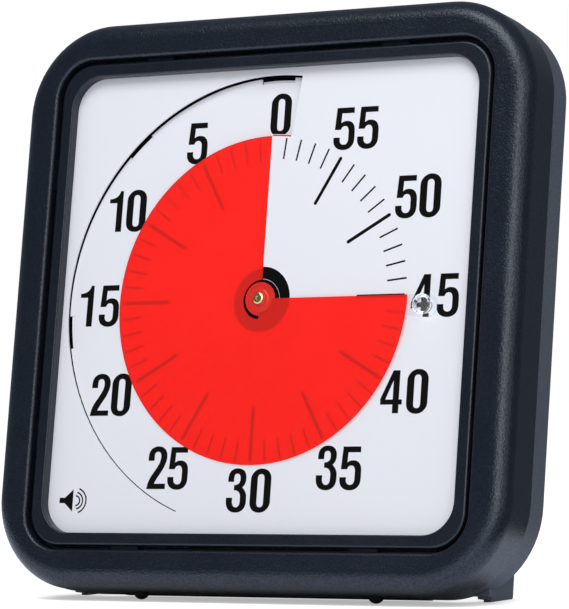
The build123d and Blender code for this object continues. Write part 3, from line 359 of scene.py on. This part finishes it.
slotMaterials = {
    "frame_plastic": framePlastic, "ring_plastic": ringPlastic, "cover_plastic": coverPaintedLighter,
    "panel_plastic": panelPlastic, "dial_plastic": dialPlastic, "film_red": filmRed,
    "film_clear": filmClear, "knob_clear": knobClear, "hub_red": hubRed, "brass": brass,
    "steel": steel, "spring_steel": springSteel, "case_black": caseBlack,
    "gear_plastic": gearPlastic, "magnet_grey": magnetGrey, "magnet_plate": magnetPlate,
    "iron": iron, "copper": copper, "board": board, "chip_black": chipBlack,
    "cell_wrap": cellWrap, "foot_rubber": footRubber,
}
for entry in frame["record"]["subparts"]:
    mesh = nodes[entry["node"]].data
    mesh.materials.clear()
    mesh.materials.append(slotMaterials[entry["material_slot"]])
print("stage: materials on", len(nodes), "nodes")


# Condensed bold digits, drawn in mm from the baseline's left end. A point is (x, y) for a corner,
# (x, y, hx, hy) for a smooth point with equal handles, or (x, y, inX, inY, outX, outY).
digits = {
    "0": (12.2, [
        [(6.1, 22.65, -3.7, 0), (0, 17.0, 0, -2.4), (0, 5.2, 0, -3.6), (6.1, -0.35, 3.7, 0),
         (12.2, 5.2, 0, 2.4), (12.2, 17.0, 0, 3.6)],
        [(6.1, 19.75, 1.35, 0), (8.1, 17.3, 0, -1.6), (8.1, 4.9, 0, -1.6), (6.1, 2.5, -1.35, 0),
         (4.1, 4.9, 0, 1.6), (4.1, 17.3, 0, 1.6)]]),
    "1": (8.3, [
        [(0, 18.0, 0, 0, 3.7, 0.1), (6.4, 22.3, -0.5, -2.6, 0, 0), (8.3, 22.3), (8.3, 0),
         (4.6, 0), (4.6, 15.8), (0, 15.8)]]),
    "2": (11.7, [
        [(0.15, 15.0), (0.15, 17.0, 0, -0.6, 0, 3.5), (6.0, 22.65, -3.6, 0, 3.5, 0),
         (11.7, 17.1, 0, 3.4, 0, -2.6), (8.9, 9.6, 1.3, 2.0, -1.9, -2.8),
         (4.5, 2.85, 0.9, 2.0, 0, 0), (11.5, 2.85), (11.5, 0), (0, 0),
         (0.6, 2.8, -0.4, -1.6, 0.9, 3.2), (5.0, 10.3, -1.8, -2.5, 1.8, 2.5),
         (7.9, 16.9, 0, -2.1, 0, 1.9), (5.9, 19.8, 1.4, 0, -1.4, 0),
         (3.85, 17.3, 0, 1.7, 0, -0.5), (3.85, 15.0)]]),
    "3": (12.1, [
        [(0.65, 15.7), (0.65, 17.2, 0, -0.5, 0, 3.6), (6.1, 22.75, -3.5, 0, 3.5, 0),
         (11.5, 17.5, 0, 3.3, 0, -1.8), (9.3, 12.85, 1.5, 0.8, 0, 0),
         (12.1, 7.8, 0, 2.9, 0, -1.2), (12.1, 5.5, 0, 0.8, 0, -3.5),
         (6.1, -0.35, 3.7, 0, -3.7, 0), (0, 5.4, 0, -3.6, 0, 0.6), (0, 7.4), (3.65, 7.4),
         (3.65, 5.3, 0, 0.6, 0, -1.7), (6.1, 2.4, -1.4, 0, 1.5, 0),
         (8.35, 5.6, 0, -1.9, 0, 1.0), (8.35, 7.8, 0, -0.8, 0, 2.4),
         (4.4, 11.3, 2.3, 0.1, 0, 0), (4.4, 14.0, 0, 0, 2.3, 0.1),
         (8.0, 17.2, 0, -2.2, 0, 1.8), (6.0, 20.0, 1.4, 0, -1.4, 0),
         (4.15, 17.4, 0, 1.7, 0, -0.5), (4.15, 15.7)]]),
    "4": (12.5, [
        [(6.75, 22.1), (10.7, 22.1), (10.7, 7.1), (12.5, 7.1), (12.5, 4.5), (10.7, 4.5),
         (10.7, 0), (7.15, 0), (7.15, 4.5), (0, 4.5), (0, 7.5)],
        [(7.15, 17.0), (2.85, 7.1), (7.15, 7.1)]]),
    "5": (12.4, [
        [(1.3, 22.2), (11.6, 22.2), (11.6, 19.2), (4.35, 19.2), (4.1, 13.9, 0, 0, 0.8, 0.8),
         (7.4, 15.1, -1.4, 0, 3.4, 0), (12.4, 9.3, 0, 3.6, 0, -1.4),
         (12.4, 5.6, 0, 1.4, 0, -3.7), (6.3, -0.35, 3.7, 0, -3.9, 0), (0, 5.0, 0, -3.3, 0, 0.6),
         (0, 6.4), (3.75, 6.4), (3.75, 5.0, 0, 0.5, 0, -1.6), (6.3, 2.45, -1.5, 0, 1.6, 0),
         (8.75, 5.6, 0, -1.9, 0, 1.4), (8.75, 9.3, 0, -1.4, 0, 1.9),
         (6.6, 12.4, 1.3, 0, -1.5, 0), (4.1, 10.5, 0.4, 1.2, 0, 0), (0.5, 10.5)]]),
}
numerals = {
    "gaps": {"10": 2.8, "15": 4.2, "20": 1.2, "25": 1.0, "30": 2.2, "35": 1.8, "40": 2.5,
             "45": 2.5, "50": 1.6, "55": 1.7},
    "middles": {"0": (2.55, 99.1), "5": (-47.4, 86.0), "10": (-88.1, 50.5), "15": (-101.0, -0.9),
                "20": (-89.0, -49.4), "25": (-49.7, -88.7), "30": (0.5, -100.6),
                "35": (53.2, -88.9), "40": (88.4, -49.8), "45": (102.7, -0.4),
                "50": (89.4, 51.5), "55": (50.4, 89.1)},
    "halfHigh": 11.15,
    "thick": 0.12,
    "curveSteps": 8,
}


def addOutline(data, points, u, v):
    spline = data.splines.new("BEZIER")
    spline.bezier_points.add(len(points) - 1)
    spline.use_cyclic_u = True
    for target, point in zip(spline.bezier_points, points):
        x, y = point[:2]
        if len(point) == 2:
            point = (x, y, 0, 0, 0, 0)
        elif len(point) == 4:
            point = (x, y, -point[2], -point[3], point[2], point[3])
        target.handle_left_type = target.handle_right_type = "FREE"
        target.co = ((u + x) * mm, (v + y) * mm, 0)
        target.handle_left = ((u + x + point[2]) * mm, (v + y + point[3]) * mm, 0)
        target.handle_right = ((u + x + point[4]) * mm, (v + y + point[5]) * mm, 0)


def linkNew(name, data):
    made = bpy.data.objects.new(name, data)
    bpy.context.scene.collection.objects.link(made)
    return made


def bakeMesh(source, name):
    # turns an object with live modifiers or curves into a plain mesh object at the origin
    bpy.context.view_layer.update()
    seen = source.evaluated_get(bpy.context.evaluated_depsgraph_get())
    mesh = bpy.data.meshes.new_from_object(seen)
    mesh.transform(source.matrix_world)
    bpy.data.objects.remove(source)
    mesh.name = name
    return linkNew(name, mesh)


weldMm = 0.002


def tidyMesh(mesh):
    # welds what meets and turns every face outward
    work = bmesh.new()
    work.from_mesh(mesh)
    bmesh.ops.remove_doubles(work, verts=work.verts, dist=weldMm * mm)
    bmesh.ops.recalc_face_normals(work, faces=work.faces)
    work.to_mesh(mesh)
    work.free()


def pieceFrom(work, name, finish):
    mesh = bpy.data.meshes.new(name)
    work.to_mesh(mesh)
    work.free()
    mesh.materials.append(finish)
    tidyMesh(mesh)
    return linkNew(name, mesh)


def layOnSheet(mesh, lift):
    # moves a flat print, drawn in u and v, down on to the leaning sheet and its flap
    for vertex in mesh.vertices:
        u, v, w = (c / mm for c in vertex.co)
        vertex.co = onDial(u, v, sheetHeight(u, v) + lift + w)


def makeNumerals():
    data = bpy.data.curves.new("numeralOutlines", "CURVE")
    data.dimensions = "2D"
    data.fill_mode = "BOTH"
    data.resolution_u = numerals["curveSteps"]
    data.extrude = numerals["thick"] / 2 * mm
    for text, (midU, midV) in numerals["middles"].items():
        width = sum(digits[d][0] for d in text) + numerals["gaps"].get(text, 0)
        u = midU - width / 2
        for d in text:
            for outline in digits[d][1]:
                addOutline(data, outline, u, midV - numerals["halfHigh"])
            u += digits[d][0] + numerals["gaps"].get(text, 0)
    piece = bakeMesh(linkNew("numeralOutlines", data), "numerals")
    layOnSheet(piece.data, 0.0)
    tidyMesh(piece.data)
    piece.data.materials.append(blackInk)
    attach(piece, "case")


makeNumerals()
print("stage: numerals printed")


stripStepDeg = 1.5


def polarStrip(name, strip, height, finish):
    # a thin strip between two radii, its top at height(u, v) along the dial's own direction
    steps = max(2, round(abs(strip["to"] - strip["from"]) / stripStepDeg))
    inner, outer, thick = strip["inner"], strip["outer"], strip["thick"]
    work = bmesh.new()
    rows = []
    for turn in spread(strip["from"], strip["to"], steps):
        rows.append([work.verts.new(onDial(*polar(r, turn), height(*polar(r, turn)) - drop))
                     for r, drop in ((inner, 0), (outer, 0), (outer, thick), (inner, thick))])
    for one, two in zip(rows, rows[1:]):
        for k in range(4):
            work.faces.new((one[k], two[k], two[(k + 1) % 4], one[(k + 1) % 4]))
    work.faces.new(rows[0])
    work.faces.new(rows[-1][::-1])
    return pieceFrom(work, name, finish)


# a short red arc at the film's radius, from the slit round to the 0
zero = {"inner": 87.0, "outer": 87.75, "from": -7.5, "to": -0.3, "top": 0.06, "thick": 0.12}
zeroLine = polarStrip("zero_line", zero, lambda u, v: zero["top"], filmRed)
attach(zeroLine, "case")

# small tongues of the sheet partly fill the three notches in the flap's edge
notches = {
    "low": {"from": -4.6, "to": 4.9, "inner": 116.45, "outer": 117.9, "down": 1.1,
            "thick": 0.7},
    "middle": {"from": 40.1, "to": 47.9, "inner": 116.45, "outer": 118.3, "down": 0.02,
               "thick": 0.7},
    "high": {"from": 93.1, "to": 101.5, "inner": 116.45, "outer": 118.0, "down": 0.02,
             "thick": 0.7},
}
for kind, notch in notches.items():
    tongue = polarStrip("tongue_" + kind, notch,
                        lambda u, v: sheetHeight(u, v) - notch["down"], dialPlastic)
    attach(tongue, "case")
print("stage: zero line and flap tongues made")

film = {
    "holeRadius": 10.7, "rootRadius": 7.45, "rootFrom": 180.0, "rootTo": 269.0,
    "rootBlend": 6, "blendPower": 3,
    "from": -89.0, "to": 270.0, "atZero": -1.2, "pitch": 3.7, "thick": 0.24, "rings": 6,
    "steps": 240,
}


def makeFilm():
    # one turn of red film winding slowly forward, cut round the button except where it joins it
    work = bmesh.new()
    sides = ([], [])
    for turn in spread(film["from"], film["to"], film["steps"]):
        into = min(max((turn - film["rootFrom"] + film["rootBlend"]) / film["rootBlend"], 0), 1)
        into *= turn <= film["rootTo"]
        inner = film["holeRadius"] + (
            (film["rootRadius"] - film["holeRadius"]) * into ** film["blendPower"])
        for side, lift in zip(sides, (0.5, -0.5)):
            w = film["atZero"] + film["pitch"] * turn / 360 + lift * film["thick"]
            side.append([work.verts.new(onDial(*polar(
                inner + (dial["filmRadius"] - inner) * j / film["rings"], turn), w))
                for j in range(film["rings"] + 1)])
    top, low = sides
    for k in range(film["steps"]):
        for j in range(film["rings"]):
            for side in sides:
                work.faces.new((side[k][j], side[k + 1][j], side[k + 1][j + 1], side[k][j + 1]))
        for j in (0, -1):
            work.faces.new((top[k][j], top[k + 1][j], low[k + 1][j], low[k][j]))
    for k in (0, -1):
        for j in range(film["rings"]):
            work.faces.new((top[k][j], top[k][j + 1], low[k][j + 1], low[k][j]))
    piece = pieceFrom(work, "film_sheet", filmRed)
    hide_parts("red_film")
    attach(piece, "film")


makeFilm()

hub = {
    "rim": {"inner": 7.32, "outer": 8.85, "from": -90.0, "to": 178.5, "top": 0.98, "thick": 0.35},
    # a strip of white finish on the black collar: painted highlight
    "line": {"inner": 10.6, "outer": 10.76, "from": -88.0, "to": -2.0, "atZero": 0.13,
             "thick": 0.1},
}


def makeHub():
    # the button's thin rim, and a thin strip in the sheet's white on the black collar's ramp: a
    # painted highlight for the light its edge catches
    rim, line = hub["rim"], hub["line"]
    flange = polarStrip("button_rim", rim, lambda u, v: rim["top"], hubRed)
    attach(flange, "disc")
    paintedHighlightArc = polarStrip(
        "collar_painted_highlight", line,
        lambda u, v: line["atZero"] + film["pitch"] * math.degrees(math.atan2(-u, v)) / 360,
        dialPlastic)
    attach(paintedHighlightArc, "case")


makeHub()
print("stage: film and hub made")

grooveShadeStrip = {"halfU": 132.35, "halfV": 132.75, "radius": 20.5, "steps": 10,
            "section": ((1.5, -0.7), (1.5, 0.08), (2.07, 0.08), (2.07, 0.02), (1.55, 0.02),
                        (1.55, -0.7))}


def makeGrooveShade():
    # the sheet's rim shows as a hair's width in the groove; a black strip laid over it is painted
    # shade that keeps the groove dark
    rows = []
    for quarter in range(4):
        su, sv = ((1, 1), (-1, 1), (-1, -1), (1, -1))[quarter]
        for k in range(grooveShadeStrip["steps"] + 1):
            a = math.radians(90 * quarter + 90 * k / grooveShadeStrip["steps"])
            row = []
            for inset, w in grooveShadeStrip["section"]:
                r = grooveShadeStrip["radius"] - inset
                row.append(onDial(
                    su * (grooveShadeStrip["halfU"] - inset - r) + r * math.cos(a),
                    sv * (grooveShadeStrip["halfV"] - inset - r) + r * math.sin(a), w))
            rows.append(row)
    work = bmesh.new()
    rows = [[work.verts.new(point) for point in row] for row in rows]
    sides = len(grooveShadeStrip["section"])
    for one, two in zip(rows, rows[1:] + rows[:1]):
        for k in range(sides):
            work.faces.new((one[k], two[k], two[(k + 1) % sides], one[(k + 1) % sides]))
    piece = pieceFrom(work, "groove_painted_shade", panelPlastic)
    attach(piece, "case")


makeGrooveShade()
print("stage: sheet edging made")

# more than any row's count, so that only the row's first bar is left out
skipFirst = 99
# where a tick starts and ends is a share of the film's radius
ticks = {
    "minute": {"from": 0.856, "to": 0.985, "width": 0.92, "round": 0.1, "count": 60,
               "stepDeg": 6, "skip": 5},
    "fiveMinutes": {"from": 0.650, "to": 0.977, "width": 1.85, "round": 0.9, "count": 12,
                    "stepDeg": 30, "skip": skipFirst},
    "thick": 0.12,
}


def barTree():
    # flat bars with rounded ends, each a turn and a shift on from the last; the first bar is
    # left out, and so is every Skip-th after it
    tree = bpy.data.node_groups.new("barRow", "GeometryNodeTree")
    tree.interface.new_socket("Geometry", in_out="OUTPUT", socket_type="NodeSocketGeometry")
    for label, kind in (("Count", "NodeSocketInt"), ("Turn", "NodeSocketFloat"),
                        ("Shift", "NodeSocketVector"), ("Skip", "NodeSocketInt"),
                        ("Inner", "NodeSocketFloat"), ("Length", "NodeSocketFloat"),
                        ("Width", "NodeSocketFloat"), ("Round", "NodeSocketFloat"),
                        ("Thick", "NodeSocketFloat"), ("Finish", "NodeSocketMaterial")):
        tree.interface.new_socket(label, in_out="INPUT", socket_type=kind)
    given = add(tree, "NodeGroupInput").outputs
    bar = add(tree, "GeometryNodeCurvePrimitiveQuadrilateral", None, {
        "Width": given["Width"], "Height": given["Length"]})
    rounded = add(tree, "GeometryNodeFilletCurve", {"mode": "POLY"}, {
        "Curve": bar.outputs[0], "Radius": given["Round"], "Limit Radius": True, "Count": 5})
    flat = add(tree, "GeometryNodeFillCurve", None, {"Curve": rounded.outputs[0]})
    raised = add(tree, "GeometryNodeExtrudeMesh", None, {
        "Mesh": flat.outputs[0], "Offset Scale": given["Thick"], "Individual": False})
    under = add(tree, "GeometryNodeFlipFaces", None, {"Mesh": flat.outputs[0]})
    solid = add(tree, "GeometryNodeJoinGeometry")
    tree.links.new(raised.outputs[0], solid.inputs[0])
    tree.links.new(under.outputs[0], solid.inputs[0])
    half = add(tree, "ShaderNodeMath", {"operation": "MULTIPLY_ADD"}, {
        0: given["Length"], 1: 0.5, 2: given["Inner"]})
    reach = add(tree, "ShaderNodeCombineXYZ", None, {"Y": half.outputs[0]})
    moved = add(tree, "GeometryNodeTransform", None, {
        "Geometry": solid.outputs[0], "Translation": reach.outputs[0]})
    row = add(tree, "GeometryNodeMeshLine", None, {
        "Count": given["Count"], "Offset": given["Shift"]})
    index = add(tree, "GeometryNodeInputIndex")
    turn = add(tree, "ShaderNodeMath", {"operation": "MULTIPLY"}, {
        0: index.outputs[0], 1: given["Turn"]})
    about = add(tree, "ShaderNodeCombineXYZ", None, {"Z": turn.outputs[0]})
    left = add(tree, "ShaderNodeMath", {"operation": "MODULO"}, {
        0: index.outputs[0], 1: given["Skip"]})
    kept = add(tree, "FunctionNodeCompare", {"data_type": "FLOAT", "operation": "GREATER_THAN"}, {
        0: left.outputs[0], 1: 0.5})
    bars = add(tree, "GeometryNodeInstanceOnPoints", None, {
        "Points": row.outputs[0], "Selection": kept.outputs[0],
        "Instance": moved.outputs[0], "Rotation": about.outputs[0]})
    real = add(tree, "GeometryNodeRealizeInstances", None, {"Geometry": bars.outputs[0]})
    inked = add(tree, "GeometryNodeSetMaterial", None, {
        "Geometry": real.outputs[0], "Material": given["Finish"]})
    add(tree, "NodeGroupOutput", None, {0: inked.outputs[0]})
    return tree


barRow = barTree()


def runTree(tree, name, values):
    holder = linkNew(name + "Source", bpy.data.meshes.new(name + "Source"))
    modifier = holder.modifiers.new("tree", "NODES")
    modifier.node_group = tree
    for item in tree.interface.items_tree:
        if item.item_type == "SOCKET" and item.in_out == "INPUT" and item.name in values:
            modifier[item.identifier] = values[item.name]
    return bakeMesh(holder, name)


def makeTicks():
    radius = dial["filmRadius"] * mm
    for kind in ("minute", "fiveMinutes"):
        size = ticks[kind]
        piece = runTree(barRow, "ticks_" + kind, {
            "Count": size["count"], "Turn": math.radians(size["stepDeg"]), "Skip": size["skip"],
            "Inner": size["from"] * radius, "Length": (size["to"] - size["from"]) * radius,
            "Width": size["width"] * mm, "Round": size["round"] * mm,
            "Thick": ticks["thick"] * mm, "Finish": blackInk})
        layOnSheet(piece.data, -ticks["thick"] / 2)
        tidyMesh(piece.data)
        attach(piece, "case")


makeTicks()
print("stage: minute marks printed")


soundSign = {
    "middle": (-108.0, -105.85),
    "horn": [(-8.0, 1.25), (-4.75, 1.25), (0.39, 5.7), (0.39, -6.1), (-4.75, -1.6), (-8.0, -1.6)],
    "waveCentre": (2.1, -0.3),
    "waves": [(2.6, 88), (4.45, 80), (6.6, 73)],
    "waveWidth": 0.8,
    "waveSteps": 16,
    "thick": 0.12,
}


def soundOutlines(scale, waves):
    cu, cv = soundSign["waveCentre"]
    outlines = [soundSign["horn"]]
    for r, half in waves:
        turns = [math.radians(turn) for turn in spread(-half, half, soundSign["waveSteps"])]
        outer = r + soundSign["waveWidth"] / 2
        inner = r - soundSign["waveWidth"] / 2
        ring = [(cu + outer * math.cos(a), cv + outer * math.sin(a)) for a in turns]
        ring += [(cu + inner * math.cos(a), cv + inner * math.sin(a)) for a in reversed(turns)]
        outlines.append(ring)
    return [[(x * scale, y * scale) for x, y in outline] for outline in outlines]


def flatMark(name, outlines, thick, finish):
    # fills outlines drawn in mm about their own middle, as thick as a print or a raised mark
    data = bpy.data.curves.new(name + "Outlines", "CURVE")
    data.dimensions = "2D"
    data.fill_mode = "BOTH"
    data.resolution_u = 1
    data.extrude = thick / 2 * mm
    for outline in outlines:
        addOutline(data, outline, 0, 0)
    piece = bakeMesh(linkNew(name + "Outlines", data), name)
    piece.data.materials.append(finish)
    return piece


def makeSoundSign():
    piece = flatMark("sound_sign", soundOutlines(1.0, soundSign["waves"]), soundSign["thick"],
                     blackInk)
    midU, midV = soundSign["middle"]
    piece.data.transform(Matrix.Translation((midU * mm, midV * mm, 0)))
    layOnSheet(piece.data, 0.0)
    tidyMesh(piece.data)
    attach(piece, "case")


makeSoundSign()
print("stage: sound sign printed")

rear = {
    "face": -39.0,
    "ribs": {"count": 6, "apart": 1.9, "wide": 15.0, "high": 0.9, "round": 0.4, "thick": 0.6,
             "from": -45.9},
    "arrow": {"at": (0, -58.4), "points": [(-3.2, 1.2), (3.2, 1.2), (0, -1.8)]},
    "cell": {"at": (-20.5, -51.0), "outlines": [
        [(-8, -3), (8, -3), (8, -1.1), (9.2, -1.1), (9.2, 1.1), (8, 1.1), (8, 3), (-8, 3)],
        [(-7.4, -2.4), (7.4, -2.4), (7.4, 2.4), (-7.4, 2.4)],
        [(3.8, -0.3), (4.7, -0.3), (4.7, -1.2), (5.3, -1.2), (5.3, -0.3), (6.2, -0.3),
         (6.2, 0.3), (5.3, 0.3), (5.3, 1.2), (4.7, 1.2), (4.7, 0.3), (3.8, 0.3)],
        [(-6.2, -0.3), (-3.8, -0.3), (-3.8, 0.3), (-6.2, 0.3)]]},
    "loud": (-26.0, -16.0),
    "soft": (-6.2, -16.0),
    "signScale": 0.42,
    "raised": 0.5,
    "printed": 0.08,
}


def layOnRear(mesh, midU, midV):
    # moves a flat mark, drawn as it is seen from behind, on to the rear face
    for vertex in mesh.vertices:
        x, y, z = (c / mm for c in vertex.co)
        vertex.co = onDial(midU - x, midV + y, rear["face"] - z)


def makeRearMarks():
    ribs = rear["ribs"]
    grip = runTree(barRow, "door_ribs", {
        "Count": ribs["count"], "Turn": 0.0, "Shift": (0.0, -ribs["apart"] * mm, 0.0),
        "Skip": skipFirst, "Inner": 0.0, "Length": ribs["high"] * mm, "Width": ribs["wide"] * mm,
        "Round": ribs["round"] * mm, "Thick": ribs["thick"] * mm, "Finish": coverPaintedLighter})
    layOnRear(grip.data, 0, ribs["from"])
    arrow = flatMark("door_arrow", [rear["arrow"]["points"]], rear["raised"], coverPaintedLighter)
    layOnRear(arrow.data, *rear["arrow"]["at"])
    cell = flatMark("door_cell_mark", rear["cell"]["outlines"], rear["raised"], coverPaintedLighter)
    layOnRear(cell.data, *rear["cell"]["at"])
    loud = flatMark("loud_mark", soundOutlines(rear["signScale"], soundSign["waves"]),
                    rear["printed"], greyInk)
    layOnRear(loud.data, *rear["loud"])
    soft = flatMark("soft_mark", soundOutlines(rear["signScale"], soundSign["waves"][:1]),
                    rear["printed"], greyInk)
    layOnRear(soft.data, *rear["soft"])
    for piece, body in ((grip, "door"), (arrow, "door"), (cell, "door"), (loud, "case"),
                        (soft, "case")):
        tidyMesh(piece.data)
        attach(piece, body)


makeRearMarks()
print("stage: rear marks made")

studio = {
    "cameraAt": (0.9909, -1.70045, 0.1293),
    "right": (0.86479, 0.50173, -0.02009),
    "up": (0.02369, -0.00081, 0.99972),
    "lens": 221.5,
    "sensor": 36.0,
    "clip": (0.05, 60.0),
    "worldLight": 0.37,
    "middle": (0, 0, 0.155),
    "lamps": {
        "sideBox": {"toward": (0.63, -0.72, 0.27), "away": 1.5, "size": (0.75, 1.1), "power": 5.4},
        "topBox": {"toward": (0.05, -0.55, 0.83), "away": 1.6, "size": (1.2, 0.8), "power": 14.5},
    },
    "floor": 12.0,
    "paper": {"tint": "#E4E4E4", "mirrored": "#D3E2FF", "contactMm": 14, "samples": 8,
              "shadowFrom": 0.35, "shadowTo": 0.9, "least": 0.42, "glow": 0.8},
    "cards": {"rightCard": (-4, 88, 0.2), "backCard": (88, 195, 0.25),
              "leftCard": (195, 285, 0.2)},
    "ceiling": 0.3,
    "ground": {"from": -30, "to": 95, "inner": 0.2, "lift": 0.0005, "level": 0.23},
    "cardAway": 1.3,
    "cardHigh": 1.9,
    "cardSteps": 12,
    "cardTint": "#DCEAFF",
}


def makeCamera():
    data = bpy.data.cameras.new("camera")
    data.sensor_width = studio["sensor"]
    data.lens = studio["lens"]
    data.clip_start, data.clip_end = studio["clip"]
    camera = linkNew("camera", data)
    right = Vector(studio["right"]).normalized()
    back = right.cross(Vector(studio["up"])).normalized()
    up = back.cross(right)
    turn = Matrix((right, up, back)).transposed().to_4x4()
    camera.matrix_world = Matrix.Translation(studio["cameraAt"]) @ turn
    bpy.context.scene.camera = camera


def makeLamps():
    middle = Vector(studio["middle"])
    for name, lamp in studio["lamps"].items():
        data = bpy.data.lights.new(name, "AREA")
        data.shape = "RECTANGLE"
        data.size, data.size_y = lamp["size"]
        data.energy = lamp["power"]
        item = linkNew(name, data)
        toward = Vector(lamp["toward"]).normalized()
        item.location = middle + toward * lamp["away"]
        item.rotation_euler = toward.to_track_quat("Z", "Y").to_euler()


def seenRays(tree):
    # what kind of ray it is, and 1 for one that sees, mirrors or looks through something clear
    path = add(tree, "ShaderNodeLightPath").outputs
    seen = add(tree, "ShaderNodeMath", {"operation": "MAXIMUM"}, {
        0: path["Is Camera Ray"], 1: path["Is Glossy Ray"]})
    shown = add(tree, "ShaderNodeMath", {"operation": "MAXIMUM"}, {
        0: seen.outputs[0], 1: path["Is Transmission Ray"]})
    return path, shown.outputs[0]


def makeWorld():
    # white behind the object and in what it mirrors, with a softer level as light on it
    world = bpy.data.worlds.new("studioWorld")
    bpy.context.scene.world = world
    world.use_nodes = True
    tree = world.node_tree
    tree.nodes.clear()
    path, shown = seenRays(tree)
    level = add(tree, "ShaderNodeMapRange", None, {
        "Value": shown, "To Min": studio["worldLight"], "To Max": 1.0})
    sky = add(tree, "ShaderNodeBackground", None, {
        "Color": (1, 1, 1, 1), "Strength": level.outputs[0]})
    add(tree, "ShaderNodeOutputWorld", None, {"Surface": sky.outputs[0]})


def makeFloor():
    look = studio["paper"]
    material, tree = startMaterial("paleStudioFloor")[:2]
    path, shown = seenRays(tree)
    paper = add(tree, "ShaderNodeBsdfDiffuse", None, {"Color": colour(look["tint"])})
    # close under the object the paper stays in its shadow, deeper still where the shell mirrors
    # it, and there the room's cool light shows on it
    clearance = add(tree, "ShaderNodeAmbientOcclusion", {"samples": look["samples"]}, {
        "Distance": look["contactMm"] * mm})
    least = add(tree, "ShaderNodeMath", {"operation": "MULTIPLY"}, {
        0: path["Is Camera Ray"], 1: look["least"]})
    level = add(tree, "ShaderNodeMapRange", None, {
        "Value": clearance.outputs["AO"], "From Min": look["shadowFrom"],
        "From Max": look["shadowTo"], "To Min": least.outputs[0], "To Max": look["glow"]})
    cast = add(tree, "ShaderNodeMix", {"data_type": "RGBA"}, {
        "Factor": path["Is Glossy Ray"], 6: colour("#FFFFFF"), 7: colour(look["mirrored"])})
    glow = add(tree, "ShaderNodeEmission", None, {
        "Color": cast.outputs[2], "Strength": level.outputs[0]})
    both = add(tree, "ShaderNodeAddShader", None, {0: paper.outputs[0], 1: glow.outputs[0]})
    shader = add(tree, "ShaderNodeMixShader", None, {
        0: shown, 1: paper.outputs[0], 2: both.outputs[0]})
    finishMaterial(tree, shader)
    half = studio["floor"] / 2
    mesh = bpy.data.meshes.new("floor")
    mesh.from_pydata([(-half, -half, 0), (half, -half, 0), (half, half, 0), (-half, half, 0)],
                     [], [(0, 1, 2, 3)])
    mesh.materials.append(material)
    floor = linkNew("floor", mesh)


def makeCard(name, points, faces, level):
    # a grey card that only reflections see: it keeps the white room out of what the shell's
    # flat faces mirror, so the crown between them stands out
    material, tree = startMaterial(name + "Cloth")[:2]
    finishMaterial(tree, add(tree, "ShaderNodeEmission", None, {
        "Color": colour(studio["cardTint"]), "Strength": level}))
    mesh = bpy.data.meshes.new(name)
    mesh.from_pydata(points, [], faces)
    mesh.materials.append(material)
    card = linkNew(name, mesh)
    card.visible_camera = card.visible_diffuse = card.visible_shadow = False
    card.visible_transmission = False


def makeCards():
    away, high, steps = studio["cardAway"], studio["cardHigh"], studio["cardSteps"]
    faces = [(k, k + 1, k + steps + 2, k + steps + 1) for k in range(steps)]
    for name, (start, end, level) in studio["cards"].items():
        turns = [math.radians(turn) for turn in spread(start, end, steps)]
        low = [(away * math.cos(a), away * math.sin(a), 0) for a in turns]
        top = [(x, y, high) for x, y, z in low]
        makeCard(name, low + top, faces, level)
    corners = [(-away, -away, high), (away, -away, high), (away, away, high), (-away, away, high)]
    makeCard("ceilingCard", corners, [(0, 1, 2, 3)], studio["ceiling"])
    ground = studio["ground"]
    turns = [math.radians(turn) for turn in spread(ground["from"], ground["to"], steps)]
    near, far = [[(r * math.cos(a), r * math.sin(a), ground["lift"]) for a in turns]
                 for r in (ground["inner"], away)]
    makeCard("groundCard", near + far, faces, ground["level"])


makeCamera()
makeLamps()
makeWorld()
makeFloor()
makeCards()
bpy.context.scene.view_settings.view_transform = "Standard"
print("stage: studio ready")
